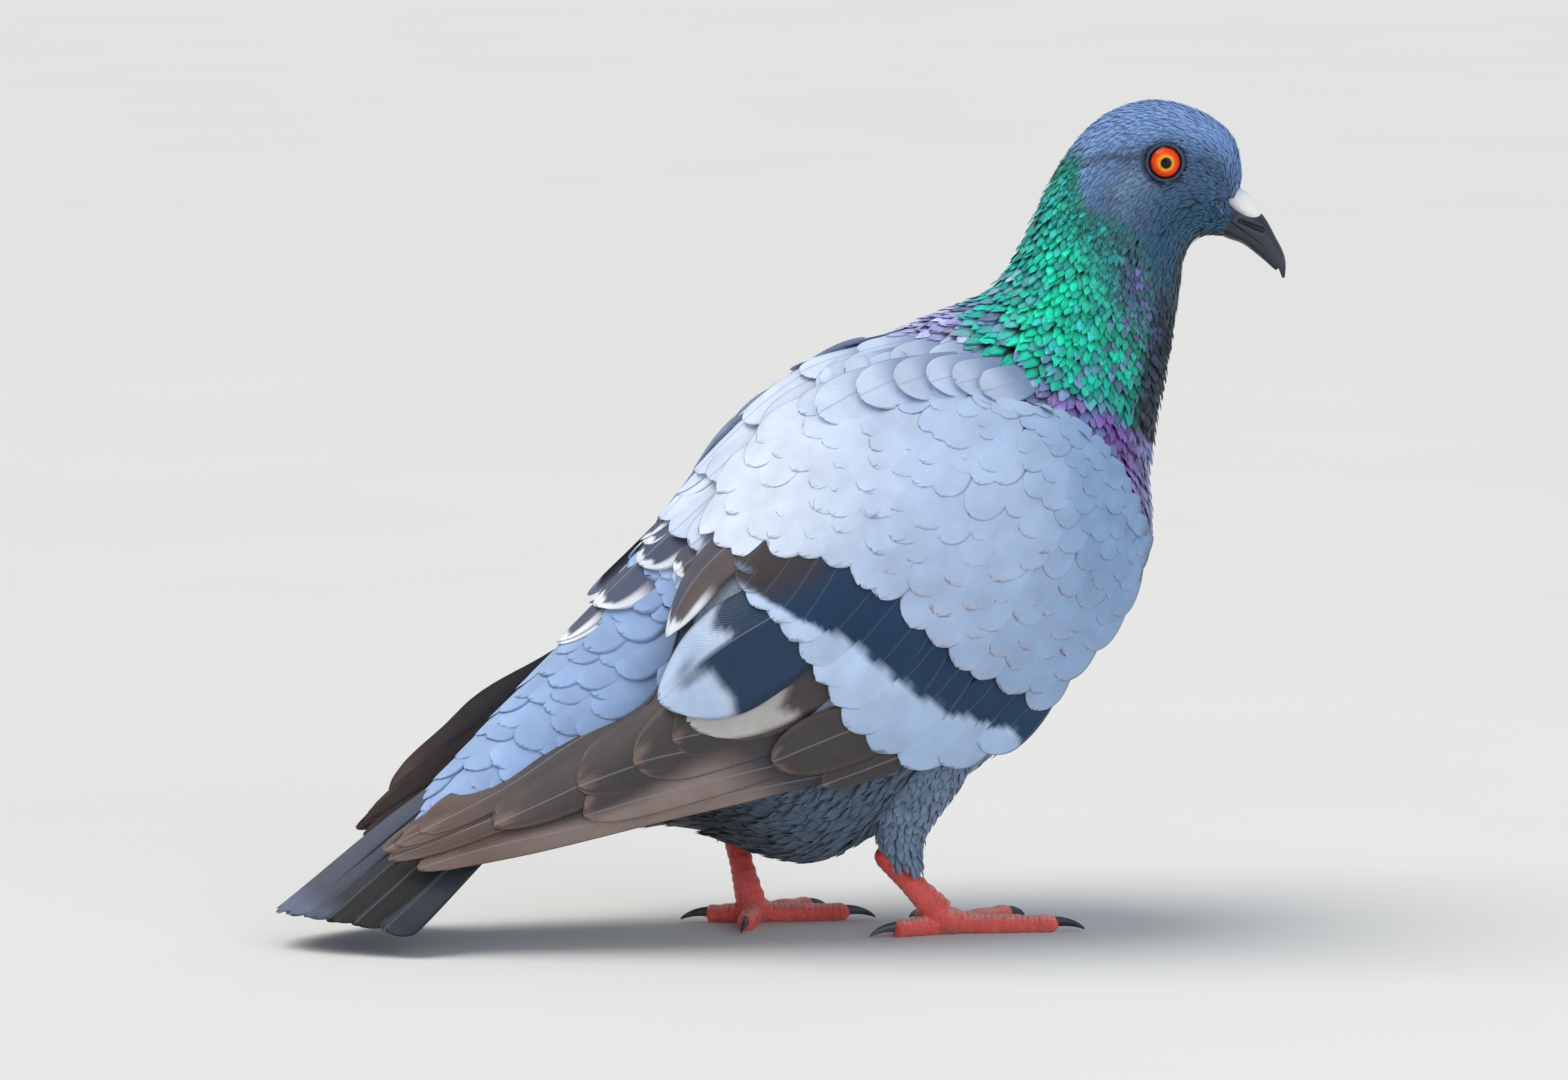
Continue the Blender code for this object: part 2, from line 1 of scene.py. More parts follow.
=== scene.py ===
"""A life-size standing rock pigeon, dressed with skin, feathers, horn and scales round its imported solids.

Frame: +X runs forward along the trunk, +Y to the bird's left and +Z up, with the floor at z = 0. Sizes
and places are in millimetres, in the same table coordinates as the solids, and one function moves them
to the object's frame in metres.

The bird's forms are surfaces of two parameters: the body (stations from the face to the tail, and the
angle around), each wing (ribs from the shoulder to the tip, and the share across), the thighs and the
tail. Skin and feathers are both worked out on these forms, so they share one set of markings.
"""

from __future__ import annotations

import logging
import math
from collections.abc import Callable, Sequence
from dataclasses import dataclass, field
from enum import Enum

import bpy
import numpy as np
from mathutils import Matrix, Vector
from mathutils.kdtree import KDTree


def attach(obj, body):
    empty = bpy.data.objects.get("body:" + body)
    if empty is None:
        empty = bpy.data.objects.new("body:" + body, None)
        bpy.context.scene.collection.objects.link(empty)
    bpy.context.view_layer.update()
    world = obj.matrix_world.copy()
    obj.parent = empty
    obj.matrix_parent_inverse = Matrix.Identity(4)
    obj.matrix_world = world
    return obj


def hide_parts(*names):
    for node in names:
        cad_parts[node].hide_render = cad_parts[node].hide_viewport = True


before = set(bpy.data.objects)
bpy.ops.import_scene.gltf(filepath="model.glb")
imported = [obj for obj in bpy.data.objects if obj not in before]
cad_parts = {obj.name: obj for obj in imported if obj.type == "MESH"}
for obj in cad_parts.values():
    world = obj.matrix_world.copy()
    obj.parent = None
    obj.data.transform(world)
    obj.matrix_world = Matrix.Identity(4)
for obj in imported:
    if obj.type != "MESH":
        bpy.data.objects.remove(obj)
log = logging.getLogger("pigeon")

Array = np.ndarray
Dice = np.random.Generator
Thing = bpy.types.Object
Material = bpy.types.Material
Tree = bpy.types.NodeTree
Socket = bpy.types.NodeSocket
Pair = tuple[float, float]
Triple = tuple[float, float, float]
Heading = Callable[..., Array]  # where feathers point, from their places on a form
MM = 0.001
BOX_MIDDLE = np.array((-1.25, 0, 0))  # the middle of the bird's box in the tables below
SEED = 41


# ---- Numbers and colours ----


def smooth(value: Array | float, low: float, high: float) -> Array:
    """A smooth step: 0 below low, 1 above high, and 3s^2 - 2s^3 between.

    Args:
        value: What is compared with the two limits.
        low: Where the step starts.
        high: Where it ends. It may be below low, and the step then falls.

    Returns:
        The step's height for each value.
    """
    s = np.clip((np.asarray(value, float) - low) / (high - low), 0, 1)
    return s * s * (3 - 2 * s)


def linear(colour: str) -> Array:
    """The linear red, green and blue of an sRGB hex colour."""
    parts = np.array([int(colour[i : i + 2], 16) / 255 for i in (1, 3, 5)])
    return np.where(parts <= 0.04045, parts / 12.92, ((parts + 0.055) / 1.055) ** 2.4)


def mixed(first: Array | str, *coats: tuple[Array | str, Array | float]) -> Array:
    """A colour under others in turn. Each has its share: 0 leaves what is below, 1 hides it."""
    colour = linear(first) if isinstance(first, str) else first
    for second, share in coats:
        part = np.asarray(share, float)[..., None]
        colour = colour * (1 - part) + (linear(second) if isinstance(second, str) else second) * part
    return colour


def unit(vectors: Array) -> Array:
    """Vectors scaled to length 1."""
    return vectors / np.maximum(np.linalg.norm(vectors, axis=-1, keepdims=True), 1e-9)


def floats(u: Array | float, v: Array | float) -> tuple[Array, Array]:
    """Two parameters as float arrays of one shape."""
    return np.broadcast_arrays(np.asarray(u, float), np.asarray(v, float))


def circle(count: int) -> Array:
    """Angles spaced evenly round a full turn."""
    return np.linspace(0, 2 * math.pi, count, endpoint=False)


def travelled(points: Array) -> Array:
    """The length along a line of points, from 0 at its first."""
    return np.concatenate(([0], np.cumsum(np.linalg.norm(np.diff(points, axis=0), axis=-1))))


class Curve:
    """A natural cubic spline through rows that stand at 0, 1, 2 and so on, straight beyond its ends."""

    def __init__(self, rows: Sequence[Sequence[float]] | Array) -> None:
        """Solves the spline's second derivatives once.

        Args:
            rows: The values at 0, 1, 2 and so on.
        """
        self.rows = np.asarray(rows, float)
        count = len(self.rows)
        matrix = np.eye(count)
        right = np.zeros_like(self.rows)
        for i in range(1, count - 1):
            matrix[i, i - 1 : i + 2] = (1, 4, 1)
            right[i] = 6 * (self.rows[i - 1] - 2 * self.rows[i] + self.rows[i + 1])
        self.bend = np.linalg.solve(matrix, right)
        self.last = count - 1

    def __call__(self, at: Array | float) -> Array:
        """The rows read at the values at, with the end slopes carried on beyond the ends."""
        at = np.asarray(at, float)
        inside = np.clip(at, 0, self.last)
        low = np.minimum(inside.astype(int), int(self.last) - 1)
        b = (inside - low)[..., None]
        a = 1 - b
        y0, y1 = self.rows[low], self.rows[low + 1]
        m0, m1 = self.bend[low], self.bend[low + 1]
        value = a * y0 + b * y1 + ((a**3 - a) * m0 + (b**3 - b) * m1) / 6
        slope = y1 - y0 + ((1 - 3 * a**2) * m0 + (3 * b**2 - 1) * m1) / 6
        return value + slope * (at - inside)[..., None]


def along_line(points: Sequence[Sequence[float]], count: int) -> Array:
    """Count points spaced evenly by length on the open line through the given ones."""
    corners = np.asarray(points, float)
    reach = travelled(corners)
    at = np.linspace(0, reach[-1], count)
    return np.stack([np.interp(at, reach, corners[:, i]) for i in range(corners.shape[1])], axis=-1)


# ---- The bird's forms ----

HEAD_TURN = math.radians(-12)  # the head looks towards the bird's right
TURN_PIVOT_X = 70  # where the neck starts to twist, at the bird's middle

# Body stations from the face to the tail: top (x, z), bottom (x, z), half width, how far the fullest
# width sits above the middle, and the share of the head's turn.
BODY_STATIONS = {
    "face": (119.3, 188.3, 114.5, 176.3, 4.6, 0, 1.00),
    "forehead": (118.8, 196.8, 110.2, 177, 8.6, 0.05, 1.00),
    "brow": (114.5, 205.3, 106.3, 174.7, 11.2, 0.15, 1.00),
    "crown": (99.4, 211.7, 104.3, 169.6, 13, 0.25, 1.00),
    "hindcrown": (83.4, 207.6, 103.3, 161.1, 13.8, 0.18, 1.00),
    "nape": (73.2, 196.3, 101.7, 151.3, 14.5, 0.05, 0.95),
    "upper_neck": (67.1, 184.2, 99.7, 138.8, 16, 0, 0.80),
    "mid_neck": (60.7, 171.2, 97.5, 126.6, 18.5, -0.05, 0.60),
    "neck_base": (52.6, 162.4, 96.1, 113.1, 23.5, -0.12, 0.35),
    "shoulder": (38.5, 157.2, 95.5, 97.6, 30, -0.34, 0.12),
    "mantle": (22.7, 150.5, 87.1, 79.7, 35, -0.36, 0),
    "back": (5.7, 143.5, 71.4, 60.1, 38, -0.38, 0),
    "mid_back": (-9.4, 130.2, 53.2, 43.9, 38, -0.38, 0),
    "loin": (-22.9, 114.7, 32.3, 30.5, 35.5, -0.34, 0),
    "vent": (-36, 99.3, 10, 18.5, 30.5, -0.25, 0),
    "fluff": (-47.7, 86.3, -9.4, 21.5, 25, -0.15, 0),
    "rump": (-60.5, 72, -27.6, 27.5, 20.5, 0, 0),
    "croup": (-75, 57, -43.3, 26.5, 17.5, 0, 0),
    "tail_base": (-88.9, 42.3, -58.7, 25.4, 17, 0, 0),
}
STATION = {name: index for index, name in enumerate(BODY_STATIONS)}

# Ribs of the right wing's outer surface, from the shoulder to the tips of the flight feathers: upper,
# middle and lower point of each rib.
WING_RIBS = (
    ((48.9, -25.5, 138.1), (71.6, -36, 130.7), (85.4, -41, 104.6)),
    ((35.4, -19, 146.4), (63, -45, 119.8), (80.3, -44, 88.3)),
    ((17.6, -15.3, 144.8), (42.6, -49.5, 110.5), (69.7, -45, 74.5)),
    ((-0.6, -15.3, 135.6), (20.4, -49.5, 100.8), (56.9, -44, 60.6)),
    ((-15, -15, 120.5), (2.8, -47, 88), (41.6, -42, 50.5)),
    ((-26.7, -14.5, 102.8), (-14.6, -42, 80.3), (23.8, -40, 42.2)),
    ((-33.9, -19.5, 82.8), (-25.5, -38.5, 64.7), (7.3, -38, 38.5)),
    ((-41, -23.5, 65.4), (-37.7, -34.5, 53), (-13.1, -36, 34.5)),
    ((-57.6, -23, 51.8), (-53.8, -30.5, 41.3), (-41.2, -33, 29.4)),
    ((-77.3, -19, 40.5), (-75.1, -26, 33.7), (-67.7, -29, 25.5)),
    ((-95.1, -17, 33), (-93.6, -21.5, 27.1), (-89, -25, 20.4)),
    ((-108.2, -17, 27.7), (-107.3, -19, 25.3), (-103.8, -21, 20.3)),
)
# The left wing is folded higher: how far its upper edge is moved at each rib.
LEFT_WING_RISE = (
    *((0, 0, 0),) * 3, (-1, 0, 0), (-1.5, 0, 0.5), (-3, 0, 2.5), (-12, -3, 5.5),
    (-15, -5, 11), (-13, -2, 9.5), (-7, 0, 9), (-2.5, 0, 6.5), (0, 0, 0.5),
)
RISE_AT_MIDDLE = 0.45  # share of that move at the middle of each rib

# Ribs of the tail's upper surface, from its base to its tip: right edge and ridge.
TAIL_RIBS = (
    ((-64, -21, 27), (-89.2, 0, 41.6)),
    ((-84, -26.5, 15.4), (-105, 0, 29.9)),
    ((-96, -28, 9.2), (-119.5, 0, 18.2)),
    ((-104, -27.5, 5.4), (-131.9, 0, 8.4)),
)

# Feathered thighs from inside the trunk down to the tarsus: centre, fore-and-aft and side radius.
THIGHS = {
    "right": (
        (36, -19, 58, 16.5, 12),
        (33, -19.5, 45, 13.5, 11),
        (29.4, -19, 33, 9, 8),
        (27.4, -18, 24.5, 6.4, 5.8),
        (28.8, -17, 17.2, 4.5, 4.6),
    ),
    "left": (
        (12, 19, 56, 16, 12),
        (4, 19, 43, 12.5, 10),
        (-3.5, 17.6, 32, 8, 7.4),
        (-7.6, 15.8, 22.5, 5.6, 5.6),
    ),
}


def turned(points: Array, share: Array | float = 1) -> Array:
    """Points turned with the head about the neck's upright axis.

    Args:
        points: Places before the head turns.
        share: 1 for the head, falling to 0 at the foot of the neck, and -1 to undo the head's turn.

    Returns:
        The turned places.
    """
    angle = HEAD_TURN * np.asarray(share)
    x, y, z = np.moveaxis(np.asarray(points, float), -1, 0)
    x = x - TURN_PIVOT_X
    c, s = np.cos(angle), np.sin(angle)
    return np.stack((TURN_PIVOT_X + x * c - y * s, x * s + y * c, z), axis=-1)


@dataclass
class EyePair:
    """Both eyes: a ball with a cornea that swells over the iris."""

    centre: Triple = (99.2, 7.4, 196.8)  # x, distance from the middle, z
    radius: float = 6
    iris: float = 3.9  # radius of what shows
    pupil: float = 1.45
    pupil_shift: Pair = (0.25, -0.1)  # forwards and up
    cornea: float = 0.5  # how far the cornea swells

    def profile(self, off: Array) -> Array:
        """How far out the ball's surface lies at a distance off its axis, from the bird's middle."""
        swell = self.cornea * np.clip(1 - (off / self.iris) ** 2, 0, 1)
        return self.centre[1] + np.sqrt(np.clip(self.radius**2 - off**2, 0, None)) + swell

    def iris_colour(self, off: Array, around: Array) -> Array:
        """Black pupil, amber ring, orange iris with fine spokes, dark red rim and dark edge."""
        spokes = 0.5 + 0.5 * np.sin(around * 46 + 2 * np.sin(around * 17))
        return mixed(
            "#ffa408",
            ("#ff5a0a", smooth(off, 1.9, 2.5)),
            ("#f03c10", smooth(off, 2.4, 3.2) * (0.6 + 0.4 * spokes)),
            ("#a01c0c", smooth(off, 3.35, 3.7)),
            ("#120c0e", smooth(off, 3.7, 3.85)),
            ("#050506", smooth(off, self.pupil + 0.12, self.pupil - 0.12)),
        )

    def build(self) -> None:
        """Makes both eyes."""
        material = EyeGlass().made()
        polar = np.concatenate((np.linspace(0.02, 0.8, 44), np.linspace(0.88, math.pi - 0.05, 14)))[:, None]
        around = circle(72)[None, :]
        off = self.radius * np.sin(polar)
        out = np.where(polar < 1.2, self.profile(off), self.centre[1] + self.radius * np.cos(polar))
        ahead, up, shift = off * np.cos(around), off * np.sin(around), smooth(off, 3.6, 0)
        x, z = self.centre[0] + ahead, self.centre[2] + up
        from_pupil = np.hypot(ahead - self.pupil_shift[0] * shift, up - self.pupil_shift[1] * shift)
        colour = self.iris_colour(from_pupil, np.broadcast_to(around, from_pupil.shape))
        for side, sign in (("right", -1), ("left", 1)):
            rings = turned(np.stack((x, sign * np.broadcast_to(out, x.shape), z), axis=-1))
            eye = tube(rings, colour, flip=sign < 0).made(f"eyeball_{side}", material)
            finished(eye, "orange_eye", f"eye_{side}")

    def limit(self, off: Array) -> Array:
        """How far out the face may reach at a distance off the eye's axis: a dish around the ball."""
        seat = self.profile(np.minimum(off, 5.9)) - 0.7 * (1 - smooth(off, 3.9, 4.4))
        return np.where(off < 7.2, seat + 8 * smooth(off, 4.9, 7.2), 99)

    def narrowed(self, local: Array) -> Array:
        """How far out the face may reach: into the dish around the eye, and less beside the cere."""
        front = 3.6 + 0.9 * np.clip(116.2 - local[..., 0], 0, None)
        front = front + 2.2 * smooth(local[..., 2], 183, 180) + 9 * smooth(local[..., 2], 185.5, 190.5)
        return np.minimum(self.limit(self.off_axis(local)), front)

    def off_axis(self, local: Array) -> Array:
        """The distance off the eyes' axis in the side view of the unturned head."""
        return np.hypot(local[..., 0] - self.centre[0], local[..., 2] - self.centre[2])

    def distance(self, points: Array) -> Array:
        """How far points lie off the nearer eye's axis, seen from the side of the turned head."""
        local = turned(points, -1)
        return np.where(np.abs(local[..., 1]) > 4, self.off_axis(local), 99)


EYES = EyePair()


class Form:
    """A surface of two parameters, u along the lie of the feathers and v across it."""

    outward = 1  # 1 where the cross product of the two slopes points out of the bird
    hand = 1  # 1 on the middle and the right, -1 on the mirrored left
    step = 0.02

    def __init__(self, rows: Sequence[Sequence[float]] | Array) -> None:
        """Makes the spline through rows of numbers, one for each whole u."""
        self.table = Curve(rows)
        self.last = self.table.last

    def points(self, u: Array, v: Array) -> Array:
        """The surface's points in millimetres."""
        raise NotImplementedError

    def frame(self, u: Array, v: Array) -> tuple[Array, Array, Array, Array]:
        """Points, slope along u, slope along v, and the outward normal, by central differences."""
        d = self.step
        du = (self.points(u + d, v) - self.points(u - d, v)) / (2 * d)
        dv = (self.points(u, v + d) - self.points(u, v - d)) / (2 * d)
        return self.points(u, v), du, dv, unit(np.cross(du, dv)) * self.outward

    def shares(self, du: Array, dv: Array, vectors: Array) -> tuple[Array, Array]:
        """How far u and v change along tangent vectors, from the surface's own two slopes."""
        uu, uv, vv = (du * du).sum(-1), (du * dv).sum(-1), (dv * dv).sum(-1)
        au, av = (du * vectors).sum(-1), (dv * vectors).sum(-1)
        area = np.maximum(uu * vv - uv * uv, 1e-6)
        return (au * vv - av * uv) / area, (av * uu - au * uv) / area

    def walked(
        self, u: Array, v: Array, heading: Heading, distance: Array, steps: int = 4
    ) -> tuple[Array, Array]:
        """Where a walk over the surface ends.

        Args:
            u: Start of each walk.
            v: Start of each walk.
            heading: Gives the wanted direction from points, u, v and both slopes.
            distance: Length of each walk, below 0 to walk backwards.
            steps: How often the heading is read again.

        Returns:
            The last u and v.
        """
        for _ in range(steps):
            points, du, dv, normal = self.frame(u, v)
            way = heading(points, u, v, du, dv)
            way = unit(way - (way * normal).sum(-1, keepdims=True) * normal)
            change_u, change_v = self.shares(du, dv, way)
            u = u + change_u * distance / steps
            v = v + change_v * distance / steps
        return u, v


class Body(Form):
    """Head, neck and trunk: u counts stations from the face, v is the angle from the top over the left."""

    outward = -1

    def points(self, u: Array, v: Array) -> Array:
        """Middle of the station, plus its half height times cos v, plus its half width times
        sin v (1 + k cos v) sideways, all turned by the station's share of the head's turn. The face is
        pressed in around the eyes and beside the cere."""
        u, v = floats(u, v)
        row = self.table(u)
        middle = (row[..., 0:2] + row[..., 2:4]) / 2
        half = (row[..., 0:2] - row[..., 2:4]) / 2
        rise = np.cos(v)
        across = row[..., 4] * np.sin(v) * (1 + row[..., 5] * rise)
        seen = middle + half * rise[..., None]
        local = np.stack((seen[..., 0], across, seen[..., 1]), axis=-1)
        on_head = u < 4.5
        if on_head.any():
            limit = np.where(on_head, EYES.narrowed(local) + 0.45, 99)
            local[..., 1] = np.clip(local[..., 1], -limit, limit)
        return turned(local, row[..., 6])

    def half_width(self, x: Array, z: Array) -> Array:
        """Half the trunk's width at each (x, z) of its side view, or 0 outside it."""
        row = self.table(np.linspace(STATION["upper_neck"], self.last, 121))
        middle = (row[:, 0:2] + row[:, 2:4]) / 2
        half = (row[:, 0:2] - row[:, 2:4]) / 2
        dx = np.asarray(x, float)[..., None] - middle[:, 0]
        dz = np.asarray(z, float)[..., None] - middle[:, 1]
        length = half[:, 0] ** 2 + half[:, 1] ** 2
        rise = (dx * half[:, 0] + dz * half[:, 1]) / length
        off = np.abs(dx * half[:, 1] - dz * half[:, 0]) / np.sqrt(length)
        side = np.sqrt(np.clip(1 - rise**2, 0, None)) * row[:, 4] * (1 + row[:, 5] * rise)
        return np.where(off < 3, side, 0).max(axis=-1)


class Wing(Form):
    """A folded wing's outer surface: u counts ribs to the tip, v runs from its upper to its lower edge."""

    def __init__(self, side: str) -> None:
        """Makes the spline through one wing's ribs.

        Args:
            side: "right" or "left".
        """
        ribs = np.array(WING_RIBS).reshape(len(WING_RIBS), 9)
        if side == "left":
            rise = np.array(LEFT_WING_RISE) * (1, -1, 1)
            ribs = ribs + np.concatenate((rise, RISE_AT_MIDDLE * rise, 0 * rise), axis=1)
        super().__init__(ribs)
        self.hand = self.outward = 1 if side == "right" else -1

    def points(self, u: Array, v: Array) -> Array:
        """A parabola across each rib through its upper, middle and lower point, mirrored on the left."""
        u, v = floats(u, v)
        row = self.table(u)
        upper, middle, lower = row[..., 0:3], row[..., 3:6], row[..., 6:9]
        b = v[..., None]
        crown = 2 * middle - 0.5 * (upper + lower)
        return (upper * (1 - b) ** 2 + 2 * crown * b * (1 - b) + lower * b**2) * (1, self.hand, 1)


class Tail(Form):
    """The folded tail's upper surface: u counts ribs from the base, v runs from -1 at the right edge to 1."""

    outward = -1

    def points(self, u: Array, v: Array) -> Array:
        """From the ridge towards the edge with the square of v, and straight across in y."""
        u, v = floats(u, v)
        row = self.table(u)
        edge, ridge = row[..., 0:3], row[..., 3:6]
        out = ridge + (edge - ridge) * v[..., None] ** 2
        out[..., 1] = -edge[..., 1] * v
        return out


class Thigh(Form):
    """A feathered thigh: u counts sections downwards, v is the angle around from the front."""

    def points(self, u: Array, v: Array) -> Array:
        """The section's centre plus its radii times cos v forward and sin v to the left."""
        u, v = floats(u, v)
        row = self.table(u)
        out = row[..., 0:3].copy()
        out[..., 0] += row[..., 3] * np.cos(v)
        out[..., 1] += row[..., 4] * np.sin(v)
        return out


BODY = Body(list(BODY_STATIONS.values()))
WINGS = {side: Wing(side) for side in ("right", "left")}
THIGH_FORMS = {side: Thigh(sections) for side, sections in THIGHS.items()}
TAIL = Tail(np.array(TAIL_RIBS).reshape(len(TAIL_RIBS), 6))


# ---- Meshes and feathers ----


def placed(name: str, data: bpy.types.ID) -> Thing:
    """A new object in the scene."""
    thing = bpy.data.objects.new(name, data)
    bpy.context.scene.collection.objects.link(thing)
    return thing


def applied(thing: Thing) -> bpy.types.Mesh:
    """The mesh of an object with its modifiers applied."""
    bpy.context.view_layer.update()
    graph = bpy.context.evaluated_depsgraph_get()
    return bpy.data.meshes.new_from_object(thing.evaluated_get(graph))


@dataclass
class Sheet:
    """A mesh as whole arrays: places in millimetres, four-cornered faces, and what its points carry."""

    points: Array
    faces: Array
    colour: Array
    vane: Array
    bake: Array | None = None

    @staticmethod
    def joined(sheets: Sequence[Sheet]) -> Sheet:
        """Several sheets as one."""
        starts = np.cumsum([0] + [len(sheet.points) for sheet in sheets])
        faces = np.concatenate([sheet.faces + start for sheet, start in zip(sheets, starts)])
        names = ("points", "colour", "vane")
        points, colour, vane = (np.concatenate([getattr(sheet, name) for sheet in sheets]) for name in names)
        bake = None if sheets[0].bake is None else np.concatenate([sheet.bake for sheet in sheets])
        return Sheet(points, faces, colour, vane, bake)

    def made(self, name: str, material: Material) -> Thing:
        """The sheet as an object at the origin, with its markings and maps.

        Args:
            name: The piece's name.
            material: Its finish.

        Returns:
            The new object.
        """
        mesh = bpy.data.meshes.new(name)
        points = (self.points - BOX_MIDDLE) * MM
        mesh.vertices.add(len(points))
        mesh.vertices.foreach_set("co", points.astype(np.float32).ravel())
        corners = self.faces.astype(np.int32)
        mesh.loops.add(corners.size)
        mesh.polygons.add(len(corners))
        mesh.polygons.foreach_set("loop_start", np.arange(0, corners.size, 4, dtype=np.int32))
        mesh.polygons.foreach_set("vertices", corners.ravel())
        mesh.update(calc_edges=True)
        mesh.shade_smooth()
        tint = mesh.color_attributes.new("Markings", "FLOAT_COLOR", "POINT")
        rgba = np.concatenate((np.clip(self.colour, 0, 1), np.ones((len(points), 1))), axis=1)
        tint.data.foreach_set("color", rgba.astype(np.float32).ravel())
        order = corners.ravel()
        for title, places in (("OFBake", self.bake), ("Vane", self.vane)):
            if places is not None:
                layer = mesh.uv_layers.new(name=title)
                layer.data.foreach_set("uv", places[order].astype(np.float32).ravel())
        mesh.materials.append(material)
        return placed(name, mesh)


@dataclass(frozen=True)
class Cut:
    """Outline, relief and fineness of one kind of feather. Lengths are in millimetres."""

    rows: int = 6
    columns: int = 3
    root: float = 0.55  # width at the root, as a share of the full width
    widest: float = 0.55  # where along it the feather is widest
    pointed: float = 0  # 0 for a round tip, 1 for a pointed one
    thickness: float = 0.16
    droop: float = 0.05  # how far the edges hang, as a share of the half width
    tilt: float = 0.05  # how far one edge rises over the next feather, as a share of the half width
    fray: float = 0  # how ragged the tip is
    rise: float = 0.8  # how early the feather lifts from root to tip height
    shaft: float = 0  # height of the shaft above the vane


@dataclass
class Roots:
    """Where many feathers grow and how large they are, as arrays of one length."""

    u: Array
    v: Array
    tip_u: Array
    tip_v: Array
    near: Array  # half width on the side of the surface's own turning sense
    far: Array  # half width on the other side
    base: Array  # height of the root over the form
    lift: Array  # height of the tip over the form
    bow: Array | float = 0  # sideways bend at the middle
    trail: tuple[Array, Array] | None = None  # u and v at even steps, where the line isn't straight in them

    def line(self, s: Array) -> tuple[Array, Array]:
        """Each feather's u and v at places along it, from 0 at the root to 1 at the tip."""
        if self.trail is None:
            u = self.u[:, None] + (self.tip_u - self.u)[:, None] * s
            return u, self.v[:, None] + (self.tip_v - self.v)[:, None] * s
        steps = self.trail[0].shape[1] - 1
        low = np.minimum((s * steps).astype(int), steps - 1)
        share = s * steps - low
        u, v = (part[:, low] * (1 - share) + part[:, low + 1] * share for part in self.trail)
        return u, v


@dataclass
class Vanes:
    """Feathers laid on a form: their sheet, and for each point its feather and its place on it."""

    sheet: Sheet
    feather: Array
    along: Array  # 0 at the root, 1 at the tip
    across: Array  # -1 to 1
    u: Array
    v: Array


